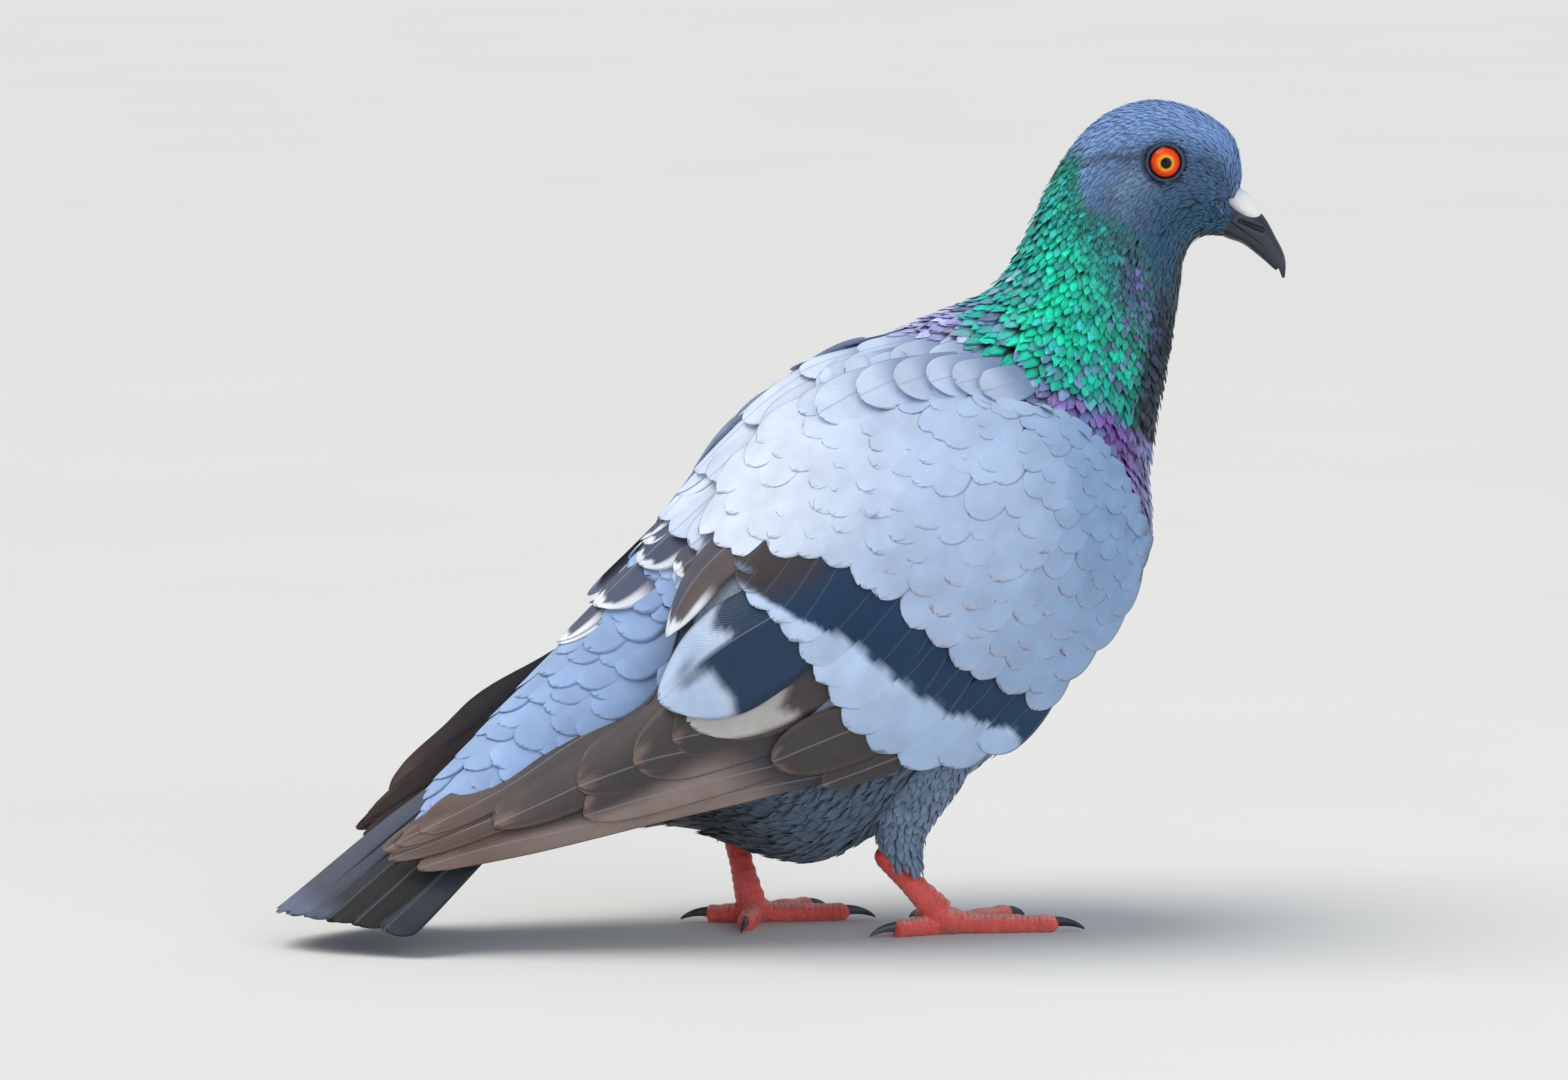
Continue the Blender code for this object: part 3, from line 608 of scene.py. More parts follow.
def laid(form: Form, cut: Cut, roots: Roots, dice: Dice) -> Vanes:
    """Feathers as closed thin lenses that lie on a form.

    A feather's line runs straight in u and v, or along its own trail, with an even bow. Its half width
    grows from the root with a quarter sine and closes as an ellipse, or straight where it is pointed.
    Its height goes from base to lift, its edges droop with the square of the place across, and the top
    bulges over a single line of points below.

    Args:
        form: What the feathers lie on.
        cut: Their kind.
        roots: Their places and sizes.
        dice: The random numbers for ragged tips.

    Returns:
        The feathers.
    """
    count, rows, columns = len(roots.u), cut.rows, cut.columns
    first = max(2, round(rows * 0.45))
    lead = np.linspace(0, cut.widest, first, endpoint=False)
    turn = np.linspace(0, 1.45, rows - first)
    s = np.concatenate((lead, cut.widest + (1 - cut.widest) * np.sin(turn) / math.sin(1.45)))
    swell = cut.root + (1 - cut.root) * np.sin(np.minimum(s / cut.widest, 1) * math.pi / 2)
    past = np.clip((s - cut.widest) / (1 - cut.widest), 0, 1)
    close = (1 - cut.pointed) * np.sqrt(np.clip(1 - past**2, 0.0144, 1)) + cut.pointed * (
        1 - 0.94 * past**1.2
    )
    half = swell * close
    u, v = roots.line(s)
    _, du, dv, normal = form.frame(u, v)
    ahead = unit(du * np.gradient(u, s, axis=1)[..., None] + dv * np.gradient(v, s, axis=1)[..., None])
    side = np.cross(normal, ahead) * form.hand
    side_u, side_v = form.shares(du, dv, side)
    ahead_u, ahead_v = form.shares(du, dv, ahead)
    bow = np.broadcast_to(np.asarray(roots.bow, float), (count,))[:, None] * 4 * s * (1 - s)
    r = np.concatenate((np.linspace(-1, 1, columns), [0]))
    width = np.where(r >= 0, roots.near[:, None, None], roots.far[:, None, None])
    off = half[None, :, None] * r * width + bow[..., None]
    length = np.linalg.norm(np.diff(form.points(u, v), axis=1), axis=-1).sum(axis=1)
    rag = dice.random((count, 1, columns + 1)) * smooth(s, 0.6, 1)[None, :, None]
    slip = -cut.fray * rag * length[:, None, None]
    grid_u = u[..., None] + side_u[..., None] * off + ahead_u[..., None] * slip
    grid_v = v[..., None] + side_v[..., None] * off + ahead_v[..., None] * slip
    points, _, _, out = form.frame(grid_u, grid_v)
    climb = s**cut.rise
    height = roots.base[:, None] + (roots.lift - roots.base)[:, None] * climb
    mean = (roots.near + roots.far)[:, None, None] / 2
    high = height[..., None] - cut.droop * mean * r**2 * half[None, :, None]
    high = high + cut.tilt * mean * r * half[None, :, None]
    bulge = np.sqrt(np.clip(1 - r**2, 0, 1)) * cut.thickness / 2
    bulge = bulge + cut.shaft * np.exp(-((r * mean / 0.7) ** 2)) * (1 - 0.8 * s)[None, :, None]
    bulge[..., -1] = -cut.thickness / 2
    thin = (0.35 + 0.65 * np.sqrt(np.clip(half, 0, 1)))[None, :, None]
    points = points + out * (high + bulge * thin)[..., None]
    ring = columns + 1
    index = np.arange(count * rows * ring).reshape(count, rows, ring)
    after = np.roll(index, -1, axis=2)
    walls = np.stack((index[:, :-1], index[:, 1:], after[:, 1:], after[:, :-1]), axis=-1)
    caps = []
    for c in range(0, columns - 1, 2):
        for row, flip in ((0, False), (rows - 1, True)):
            quad = np.stack([index[:, row, k] for k in (columns, c, c + 1, c + 2)], axis=-1)
            caps.append(quad[:, ::-1] if flip else quad)
    faces = np.concatenate([walls.reshape(-1, 4), *caps])
    if form.hand < 0:
        faces = faces[:, ::-1]
    shape = (count, rows, ring)
    place_across = np.broadcast_to(r * half[None, :, None] * width, shape)
    vane = np.stack((np.broadcast_to(s[None, :, None] * length[:, None, None], shape), place_across), axis=-1)
    sheet = Sheet(points.reshape(-1, 3), faces, np.zeros((count * rows * ring, 3)), vane.reshape(-1, 2) * MM)
    return Vanes(
        sheet,
        np.repeat(np.arange(count), rows * ring),
        np.broadcast_to(s[None, :, None], shape).ravel(),
        np.broadcast_to(r, shape).ravel(),
        grid_u.ravel(),
        grid_v.ravel(),
    )


BAKE_PATCH = 0.003  # how wide a tuft's patch is on the baked map


def tuft_patches(vanes: Vanes, root_u: Array, root_v: Array) -> Array:
    """Each feather's patch on the map: a small square at its root's place on the unwrapped form.

    Args:
        vanes: The feathers.
        root_u: Each root's place along the unwrap, from 0 to 1.
        root_v: Each root's place across the unwrap, from 0 to 1.

    Returns:
        The place on the map of each point.
    """
    at = np.stack((np.clip(root_u, 0, 1), root_v), axis=-1)[vanes.feather] * (1 - BAKE_PATCH)
    return at + np.stack((vanes.along, 0.5 + 0.5 * vanes.across), axis=-1) * BAKE_PATCH


def strip_patches(vanes: Vanes, count: int, first: int = 0) -> Array:
    """Large feathers side by side on the map, one upright strip each.

    Args:
        vanes: The feathers.
        count: How many strips the map holds.
        first: The first feather's strip.

    Returns:
        The place on the map of each point.
    """
    strip = (vanes.feather + first + 0.5 + 0.44 * vanes.across) / count
    return np.stack((strip, 0.01 + 0.98 * vanes.along), axis=-1)


def along_u(turn: Array | float = 0) -> Heading:
    """A heading along growing u, turned across by an angle in radians for each feather."""

    def heading(points: Array, u: Array, v: Array, du: Array, dv: Array) -> Array:
        """The slope along u plus the tangent of the turn times the slope across."""
        return unit(du) + unit(dv) * np.tan(np.asarray(turn))[..., None]

    return heading


def side_view(angle: Array | Heading) -> Heading:
    """A heading given as an angle in the side view, in degrees from straight ahead over the top."""

    def heading(points: Array, u: Array, v: Array, du: Array, dv: Array) -> Array:
        """Cosine of the angle forwards and sine upwards."""
        turn = np.radians(angle(u, v) if callable(angle) else angle)
        turn = np.broadcast_to(turn, u.shape)
        return np.stack((np.cos(turn), 0 * turn, np.sin(turn)), axis=-1)

    return heading


def staggered(
    form: Form, first: float, last: float, spacing: Pair, span: Pair, dice: Dice, jitter: float = 0.16
) -> tuple[Array, Array]:
    """Places in staggered rows over a form, about evenly spaced in real length.

    Rows stand apart along u as their longest line allows. In each row the places are even by arc
    length, with every second row moved by half a step, and where rows crowd together places are
    dropped at random.

    Args:
        form: The surface.
        first: The first row's u.
        last: The last row's u.
        spacing: Real distance between rows, and between places in a row.
        span: First and last v.
        dice: The random numbers.
        jitter: How far a place may slip, as a share of the spacing.

    Returns:
        The places' u and v.
    """
    probe = np.linspace(*span, 25)
    steps = np.linspace(first, last, 60)
    lengths = np.linalg.norm(np.diff(form.points(steps[:, None], probe[None, :]), axis=0), axis=-1)
    reach = np.concatenate(([0], np.cumsum(lengths.max(axis=1))))
    rows = max(2, int(reach[-1] / spacing[0]))
    at = np.interp((np.arange(rows) + 0.5) / rows * reach[-1], reach, steps)
    all_u, all_v = [], []
    fine = np.linspace(*span, 97)
    for number, u in enumerate(at):
        arc = travelled(form.points(np.full(97, u), fine))
        count = max(1, round(arc[-1] / spacing[1]))
        place = (np.arange(count) + 0.25 + 0.5 * (number % 2)) / count
        place = place + dice.uniform(-jitter, jitter, count) / count
        all_v.append(np.interp(place * arc[-1], arc, fine))
        all_u.append(np.full(count, u))
    u, v = np.concatenate(all_u), np.concatenate(all_v)
    gap = np.gradient(at)[np.searchsorted(at, u).clip(0, rows - 1)]
    u = u + dice.uniform(-jitter, jitter, len(u)) * gap
    _, du, _, _ = form.frame(u, v)
    local = np.linalg.norm(du, axis=-1) * gap
    keep = dice.random(len(u)) < local / spacing[0] * 1.15
    return u[keep], v[keep]


@dataclass
class Growth:
    """How one kind of small feather grows: its cut, size, and height over the form."""

    cut: Cut
    length: Array | float
    width: Array | float
    base: Array | float
    lift: Array | float
    scatter: float = 0.08  # random share of length, width and lift
    turn: float = 4  # random turn in degrees

    def grown(
        self, form: Form, u: Array, v: Array, dice: Dice, heading: Heading | None = None
    ) -> tuple[Vanes, Roots]:
        """The feathers that grow at the given places.

        Args:
            form: What they lie on.
            u: Each root's place.
            v: Each root's place.
            dice: The random numbers.
            heading: Which way they lie. Without it they lie along u.

        Returns:
            The feathers, and where they grow.
        """
        count = len(u)
        vary = 1 + dice.uniform(-self.scatter, self.scatter, (3, count))
        length = np.broadcast_to(self.length, (count,)) * vary[0]
        half = np.broadcast_to(self.width, (count,)) * vary[1] / 2
        if heading is None:
            heading = along_u(np.radians(dice.uniform(-self.turn, self.turn, count)))
        tip_u, tip_v = form.walked(u, v, heading, length)
        base = np.broadcast_to(self.base, (count,)).astype(float)
        lift = np.broadcast_to(self.lift, (count,)) + (vary[2] - 1) * 2
        roots = Roots(u, v, tip_u, tip_v, half, half, base, lift)
        return laid(form, self.cut, roots, dice), roots


def feather_tints(vanes: Vanes, colours: Array, dice: Dice, vary: float = 0.06) -> Array:
    """One colour for each feather, a little lighter or darker at random, for each of its points."""
    light = 1 + dice.uniform(-vary, vary, (len(colours), 1))
    return (colours * light)[vanes.feather]


# ---- Markings ----


class Tint(str, Enum):
    """Colours of the plumage, as sRGB."""

    CROWN = "#7fa5de"
    FACE = "#476a92"
    CHEEK = "#1f587a"
    THROAT = "#21343f"
    EAR = "#7c9cba"
    EYE_LINE = "#37496a"
    NAPE_GREEN = "#04aa9c"
    BRIGHT_GREEN = "#02e2b4"
    DEEP_GREEN = "#14907e"
    FRONT_GREEN = "#0f2b2c"
    SLATE_VIOLET = "#4a5078"
    VIOLET = "#9468c4"
    LILAC = "#c0c3f2"
    TEAL = "#2fb4b4"
    DUSKY_VIOLET = "#7d74b8"
    # painted shade: the near black of the neck feathers' roots, which shows in the gaps between their tips
    NECK_ROOT_SHADE = "#0f2227"
    MANTLE = "#869fc8"
    SUNLIT = "#dce8fa"
    RUMP = "#98b4e0"
    BREAST = "#8da6c6"
    BELLY = "#8096b2"
    VENT = "#56687e"
    UNDER_TAIL = "#262d38"
    WING = "#b3c8e8"
    # painted shade: the deeper blue of the wing's front and lower edge
    WING_SHADE = "#87a6cc"
    BAR = "#103658"
    BAR_BROWN = "#3b3438"
    BAND_WHITE = "#c4daf8"
    TERTIAL = "#474e6a"
    TERTIAL_BROWN = "#5c5052"
    PRIMARY = "#433d3e"
    PRIMARY_SLATE = "#3a3a43"
    WORN_EDGE = "#806a60"
    CREAM = "#c3bfba"
    TAIL_TOP = "#3d4559"
    TAIL_GREY = "#2b303d"


# Where zones of the neck end, as (angle from the top in degrees, station).
HEAD_EDGE = ((0, 4.9), (30, 4.6), (42, 4.95), (59, 5.05), (79, 4.65), (96, 4.3), (130, 4.4), (180, 4.6))
GREEN_EDGE = ((0, 8.3), (27, 8.7), (47, 9), (65, 8.65), (83, 8.15), (112, 7.55), (152, 7.25), (180, 7.2))
VIOLET_EDGE = ((0, 9.5), (29, 9.55), (46, 9.15), (54, 8.95), (71, 8.6), (106, 8.4), (145, 8.8), (180, 8.9))


def read_at(line: Sequence[Pair], at: Array) -> Array:
    """A line given as pairs, read between them at each place."""
    return np.interp(at, *np.array(line).T)


def from_top(v: Array) -> Array:
    """The angle from the top in degrees, the same on both sides."""
    return np.abs((np.degrees(np.asarray(v, float)) + 180) % 360 - 180)


def head_marking(u: Array, v: Array) -> Array:
    """Slate blue, lightest on the crown, with a pale ear patch under a dark line behind the eye."""
    angle = from_top(v)
    ear = np.exp(-(((u - 4.05) / 0.75) ** 2 + ((angle - 72) / 17) ** 2) * 1.4)
    line = np.exp(-(((angle - (66 - (u - 3.5) * 27)) / 5) ** 2)) * smooth(u, 3.2, 3.5)
    return mixed(
        Tint.CROWN,
        (Tint.FACE, smooth(angle, 35, 75)),
        (Tint.CHEEK, smooth(angle, 85, 115)),
        (Tint.THROAT, smooth(angle, 125, 160)),
        (Tint.EAR, 0.75 * ear),
        (Tint.EYE_LINE, 0.7 * line * smooth(u, 4.9, 4.5)),
    )


def neck_marking(u: Array, v: Array) -> Array:
    """Green from the nape to the shoulders, duller behind and in front, over a violet band."""
    angle = from_top(v)
    past_green = u - read_at(GREEN_EDGE, angle)
    breast = (Tint.BREAST, 0.7 * smooth(angle, 112, 160))
    violet = mixed(Tint.LILAC, (Tint.VIOLET, smooth(angle, 45, 95)), breast)
    return mixed(
        Tint.NAPE_GREEN,
        (Tint.BRIGHT_GREEN, smooth(angle, 22, 55)),
        (Tint.DEEP_GREEN, smooth(u - read_at(HEAD_EDGE, angle), 1.3, 0.2)),
        (Tint.TEAL, 0.45 * smooth(past_green, -1.2, -0.4)),
        (Tint.FRONT_GREEN, smooth(angle, 114, 138)),
        (Tint.SLATE_VIOLET, 0.92 * np.exp(-((u - 5.2) ** 2) - ((angle - 106) / 34) ** 2)),
        (violet, smooth(past_green, -0.15, 0.15)),
    )


def neck_second(u: Array, v: Array) -> Array:
    """What every third or so neck feather shows instead, as its barbs lie at another angle."""
    angle = from_top(v)
    dusk = smooth(angle, 88, 105) * smooth(u, 7.6, 6.6)
    low = smooth(u - read_at(GREEN_EDGE, angle), -0.9, -0.2)
    lilac = (Tint.LILAC, smooth(angle, 50, 15) * smooth(u, 6.8, 8))
    return mixed(Tint.TEAL, lilac, (Tint.DUSKY_VIOLET, np.clip(dusk + 0.8 * low, 0, 1)))


def trunk_marking(u: Array, v: Array) -> Array:
    """Pale blue-grey above, whiter towards the end of the shoulders, slate below and on the rump."""
    below = mixed(
        Tint.BREAST,
        (Tint.BELLY, smooth(u, 9.5, 11.5)),
        (Tint.VENT, smooth(u, 11.8, 13.2)),
        (Tint.UNDER_TAIL, smooth(u, 13.6, 15.4)),
    )
    sunlit, rump = (Tint.SUNLIT, smooth(u, 9.8, 11.6)), (Tint.RUMP, smooth(u, 13.3, 13.9))
    return mixed(Tint.MANTLE, sunlit, rump, (below, smooth(from_top(v), 62, 92)))


def body_marking(u: Array, v: Array) -> Array:
    """The body's markings from the face to the tail, by station and angle."""
    past_head, past_violet = (u - read_at(edge, from_top(v)) for edge in (HEAD_EDGE, VIOLET_EDGE))
    neck = (neck_marking(u, v), smooth(past_head, -0.2, 0.2))
    return mixed(head_marking(u, v), neck, (trunk_marking(u, v), smooth(past_violet, -0.25, 0.3)))


def wing_marking(u: Array, v: Array) -> Array:
    """Pale blue-grey, with painted sunlight whitening it towards the back, and painted shade deepening it in
    front and towards the lower edge.
    """
    low = smooth(v - 0.12 * u, 0.2, 0.75)
    front = smooth(u, 2.2, 0.4) * smooth(v, 0.05, 0.35)
    sunlit = (Tint.SUNLIT, smooth(u, 1.8, 4) * smooth(v, 0.6, 0.15))
    return mixed(Tint.WING, sunlit, (Tint.WING_SHADE, np.clip(0.85 * low + 0.75 * front, 0, 1)))


# ---- Finishes ----


def feed(tree: Tree, node: bpy.types.Node, links: dict) -> None:
    """Sets a node's inputs by name or number: outputs are linked and plain values kept."""
    for name, value in links.items():
        if isinstance(value, Socket):
            tree.links.new(value, node.inputs[name])
        else:
            node.inputs[name].default_value = value


def add(
    tree: Tree, kind: str, links: dict | None = None, output: int | str = 0, **settings: object
) -> Socket:
    """Adds a node with its settings and links.

    Args:
        tree: The material's nodes.
        kind: The node's type, without the words that all of them start with.
        links: Its inputs by name or number, each a value or an output to link.
        output: Which of its outputs is wanted.
        settings: Its own properties.

    Returns:
        That output.
    """
    node = tree.nodes.new("ShaderNode" + kind)
    for name, value in settings.items():
        setattr(node, name, value)
    feed(tree, node, links or {})
    return node.outputs[output]


def spot(tree: Tree) -> Socket:
    """Places on the object itself, in metres."""
    return add(tree, "TexCoord", output="Object")


def noise(tree: Tree, scale: float, detail: float) -> Socket:
    """A noise over the object."""
    return add(tree, "TexNoise", {"Vector": spot(tree), "Scale": scale, "Detail": detail}, "Fac")


def ranged(tree: Tree, value: Socket, *ends: float) -> Socket:
    """A value carried from one range, the first two ends, to another, the last two."""
    names = ("From Min", "From Max", "To Min", "To Max")
    return add(tree, "MapRange", {"Value": value, **dict(zip(names, ends))}, "Result")


def maths(tree: Tree, operation: str, *values: Socket | float) -> Socket:
    """One arithmetic step on up to three values."""
    return add(tree, "Math", dict(enumerate(values)), operation=operation)


def marked(tree: Tree, light: Socket | None = None) -> Socket:
    """The piece's own markings, made lighter or darker by a value."""
    tint = add(tree, "Attribute", output="Color", attribute_name="Markings")
    return add(tree, "VectorMath", {0: tint, "Scale": light}, "Vector", operation="SCALE") if light else tint


def blend(tree: Tree, share: object, first: object, second: object, way: str = "MIX") -> Socket:
    """Two colours mixed by a share."""
    return add(tree, "Mix", {"Factor": share, 6: first, 7: second}, 2, data_type="RGBA", blend_type=way)


def relief(tree: Tree, height: Socket, strength: float, depth: float) -> Socket:
    """A bump by a height, as deep as the depth in metres."""
    return add(tree, "Bump", {"Strength": strength, "Distance": depth, "Height": height}, "Normal")


def ramp(tree: Tree, value: Socket, stops: Sequence[tuple[float, str]]) -> Socket:
    """A colour ramp over a value, with its stops from 0 to 1."""
    colour = add(tree, "ValToRGB", {"Fac": value}, "Color")
    for element, (place, tint) in zip(colour.node.color_ramp.elements, stops):
        element.position = place
        element.color = (*linear(tint), 1)
    return colour


class Finish:
    """A procedural material round one shader. Each kind says what feeds the shader."""

    name: str

    def inputs(self, tree: Tree) -> dict:
        """The shader's inputs by name, each a value or an output."""
        raise NotImplementedError

    def made(self) -> Material:
        """The finish as a new material."""
        material = bpy.data.materials.new(self.name)
        material.use_nodes = True
        tree = material.node_tree
        feed(tree, tree.nodes["Principled BSDF"], self.inputs(tree))
        return material


@dataclass(frozen=True)
class Feathering(Finish):
    """Keratin vanes: matt and softly sheening, combed by fine barbs that leave the shaft at a slant.

    Real barbs stand about 0.3 mm apart. The small feathers' are drawn a little coarser, so that they
    show. Structural blue and green come from air and layers in the barbs, which the markings carry as
    plain colour with a tighter gloss.
    """

    name: str
    barb_pitch: float = 0.5  # millimetres
    barb_depth: float = 0.25  # strength of the bump
    roughness: float = 0.62
    sheen: float = 0.18
    specular: float = 0.35
    metallic: float = 0
    shaft: str | None = None  # sRGB of the shaft, for feathers whose shaft shows
    shaft_width: float = 0.35  # millimetres
    shaft_share: float = 0.85

    def inputs(self, tree: Tree) -> dict:
        """Barbs are the sine of the place along the shaft less 1.2 times the place across it, both from
        the feathers' own map, which wanders by a noise."""
        pitch = self.barb_pitch * MM
        along = add(tree, "SeparateXYZ", {0: add(tree, "UVMap", uv_map="Vane")}, "X")
        across = maths(tree, "ABSOLUTE", along.node.outputs["Y"])
        slant = maths(tree, "MULTIPLY_ADD", across, -1.2, along)
        wander = maths(tree, "MULTIPLY_ADD", noise(tree, 420, 2), 0.6 * pitch, slant)
        barbs = maths(tree, "SINE", maths(tree, "MULTIPLY", wander, 2 * math.pi / pitch))
        light = ranged(tree, noise(tree, 130, 3), 0.3, 0.7, 0.9, 1.08)
        colour = marked(tree, maths(tree, "MULTIPLY_ADD", barbs, 0.05, light))
        if self.shaft:
            width = self.shaft_width * MM
            on_shaft = ranged(tree, across, 0.5 * width, 0.9 * width, self.shaft_share, 0)
            colour = blend(tree, on_shaft, colour, (*linear(self.shaft), 1))
        return {
            "Base Color": colour,
            "Normal": relief(tree, barbs, self.barb_depth, 0.0002),
            "Roughness": self.roughness,
            "Metallic": self.metallic,
            "Specular IOR Level": self.specular,
            "Sheen Weight": self.sheen,
            "Sheen Roughness": 0.5,
        }


@dataclass(frozen=True)
class BareSkin(Finish):
    """Soft dull skin under the coat, with down on it, which carries the coat's markings."""

    name: str = "downy_skin"

    def inputs(self, tree: Tree) -> dict:
        """The markings under a fine downy mottle."""
        down = noise(tree, 900, 4)
        colour = marked(tree, ranged(tree, down, 0.3, 0.7, 0.75, 1.1))
        return {"Base Color": colour, "Normal": relief(tree, down, 0.5, 0.0003), "Roughness": 0.8}


@dataclass(frozen=True)
class Keratin(Finish):
    """Horn of the claws: smooth, faintly streaked along its growth and a little dusty."""

    name: str
    dark: str
    light: str
    roughness: float = 0.38
    streak: float = 260

    def inputs(self, tree: Tree) -> dict:
        """Two greys mixed by a stretched noise, with a fine bump."""
        stretched = add(tree, "Mapping", {"Vector": spot(tree), "Scale": (0.35, 1, 0.6)})
        streaks = add(tree, "TexNoise", {"Vector": stretched, "Scale": self.streak, "Detail": 5}, "Fac")
        colour = ramp(tree, streaks, ((0.35, self.dark), (0.68, self.light)))
        fine = relief(tree, noise(tree, 1500, 3), 0.25, 0.0001)
        return {"Base Color": colour, "Normal": fine, "Roughness": self.roughness}


@dataclass(frozen=True)
class MarkedKeratin(Finish):
    """Bill horn: polished by use, with fine streaks and a dusty bloom over its own marking."""

    name: str

    def inputs(self, tree: Tree) -> dict:
        """The horn's marking, lightly streaked along its growth."""
        streaks = noise(tree, 700, 5)
        colour = marked(tree, ranged(tree, streaks, 0.3, 0.7, 0.8, 1.25))
        return {"Base Color": colour, "Normal": relief(tree, streaks, 0.3, 0.0001), "Roughness": 0.36}


@dataclass(frozen=True)
class PowderedCere(Finish):
    """The cere's chalky white skin, finely pitted and lilac towards its lower edge."""

    name: str = "chalky_cere"

    def inputs(self, tree: Tree) -> dict:
        """White to lilac by its own marking, with pits about 0.3 mm apart."""
        pits = add(tree, "TexVoronoi", {"Vector": spot(tree), "Scale": 2600}, "Distance", feature="F1")
        return {
            "Base Color": marked(tree),
            "Normal": relief(tree, pits, 0.5, 0.0002),
            "Roughness": 0.7,
            "Subsurface Weight": 0.1,
            "Subsurface Radius": (0.001, 0.0006, 0.0005),
        }


@dataclass(frozen=True)
class EyeGlass(Finish):
    """The eye: a wet clear cornea over an orange iris, which its marking carries."""

    name: str = "wet_eye"

    def inputs(self, tree: Tree) -> dict:
        """The iris's marking under a clear wet coat."""
        return {
            "Base Color": marked(tree, ranged(tree, noise(tree, 2400, 2), 0.3, 0.7, 0.85, 1.1)),
            "Roughness": 0.4,
            "Specular IOR Level": 0.1,
            "Coat Weight": 0.8,
            "Coat Roughness": 0.03,
            "Coat IOR": 1.3,
        }


@dataclass(frozen=True)
class ScalyLeg(Finish):
    """Red skin of the leg under hard scales, with paler grooves between them."""

    name: str = "scaly_red_leg"

    def inputs(self, tree: Tree) -> dict:
        """The leg's marking, with a net of small scales 1 mm across as colour and bump."""
        cells = {"Vector": spot(tree), "Scale": 950, "Randomness": 0.9}
        net = add(tree, "TexVoronoi", cells, "Distance", feature="DISTANCE_TO_EDGE")
        groove = ranged(tree, net, 0, 0.14, 0, 1)
        plate = marked(tree, ranged(tree, noise(tree, 300, 4), 0.3, 0.7, 0.82, 1.12))
        pale = blend(tree, 0.5, plate, (*linear("#a86660"), 1), "SCREEN")
        return {
            "Base Color": blend(tree, groove, pale, plate),
            "Normal": relief(tree, groove, 0.6, 0.0003),
            "Roughness": 0.42,
            "Subsurface Weight": 0.12,
            "Subsurface Radius": (0.002, 0.0006, 0.0005),
        }


@dataclass(frozen=True)
class PlainFloor(Finish):
    """A pale matt studio floor with the faintest grain."""

    name: str = "pale_floor"

    def inputs(self, tree: Tree) -> dict:
        """Two near whites mixed by a wide noise."""
        colour = ramp(tree, noise(tree, 6, 2), ((0.3, "#dddedc"), (0.7, "#dfe0de")))
        return {"Base Color": colour, "Roughness": 0.85}


# ---- Skin, horn and scales ----


def tube(rings: Array, colour: Array, flip: bool = False, strip: bool = False) -> Sheet:
    """A closed skin through rings of points.

    Args:
        rings: Points by ring and by place around, an even number of places.
        colour: The colour of each point, or one for all.
        flip: Turns the faces over.
        strip: Closes each end from the ring's first half straight to its second, not from its middle.

    Returns:
        The sheet.
    """
    count, sides = rings.shape[:2]
    index = np.arange(count * sides).reshape(count, sides)
    after = np.roll(index, -1, axis=1)
    faces = [np.stack((index[:-1], index[1:], after[1:], after[:-1]), axis=-1).reshape(-1, 4)]
    points = rings.reshape(-1, 3)
    tints = np.broadcast_to(colour, rings.shape).reshape(-1, 3)
    if strip:
        half = sides // 2
        for row, back in ((0, False), (count - 1, True)):
            ring = index[row]
            j = np.arange(half - 1)
            quad = np.stack((ring[j], ring[j + 1], ring[sides - 2 - j], ring[sides - 1 - j]), axis=-1)
            faces.append(quad[:, ::-1] if back else quad)
    else:
        for row, back in ((0, False), (count - 1, True)):
            middle = len(points)
            points = np.concatenate((points, rings[row].mean(axis=0, keepdims=True)))
            tints = np.concatenate((tints, tints[index[row]].mean(axis=0, keepdims=True)))
            ring = index[row]
            j = np.arange(0, sides, 2)
            quad = np.stack(
                (np.full(len(j), middle), ring[j], ring[(j + 1) % sides], ring[(j + 2) % sides]), axis=-1
            )
            faces.append(quad[:, ::-1] if back else quad)
    joined = np.concatenate(faces)
    if flip:
        joined = joined[:, ::-1]
    return Sheet(points, joined, tints, np.zeros((len(points), 2)))


def swept(path: Array, radii: Array, sides: int, squash: float = 1) -> Array:
    """Rings of a tube along a path: circles in the planes across it, flattened sideways by squash.

    Args:
        path: The middle line's points.
        radii: The radius at each.
        sides: Points in each ring.
        squash: Half width sideways as a share of the radius.

    Returns:
        The rings' points.
    """
    ahead = unit(np.gradient(path, axis=0))
    side = np.cross(ahead, (0, 0, 1))
    side[np.linalg.norm(side, axis=1) < 0.2] = (0, 1, 0)
    side = unit(side)
    up = np.cross(side, ahead)
    turn = circle(sides)[None, :, None]
    ring = squash * np.cos(turn) * side[:, None] + np.sin(turn) * up[:, None]
    return path[:, None] + ring * radii[:, None, None]


def merged(base: Thing, others: Sequence[Thing], operation: str = "UNION") -> None:
    """Joins closed solids to base, or cuts them out of it, with exact Booleans that are applied at once."""
    for other in others:
        modifier = base.modifiers.new("solid", "BOOLEAN")
        modifier.operation = operation
        modifier.solver = "EXACT"
        modifier.object = other
        mesh = applied(base)
        base.modifiers.clear()
        base.data = mesh
        mesh.name = base.name
        bpy.data.objects.remove(other)


def tinted(thing: Thing, sheets: Sequence[Sheet]) -> None:
    """Gives each point of a merged solid the marking of the nearest point of the sheets it came from."""
    points = (np.concatenate([sheet.points for sheet in sheets]) - BOX_MIDDLE) * MM
    colours = np.concatenate([np.broadcast_to(sheet.colour, sheet.points.shape) for sheet in sheets])
    tree = KDTree(len(points))
    for number, point in enumerate(points):
        tree.insert(point, number)
    tree.balance()
    nearest = [tree.find(vertex.co)[1] for vertex in thing.data.vertices]
    rgba = np.concatenate((colours[nearest], np.ones((len(nearest), 1))), axis=1)
    layer = thing.data.color_attributes["Markings"]
    layer.data.foreach_set("color", rgba.astype(np.float32).ravel())


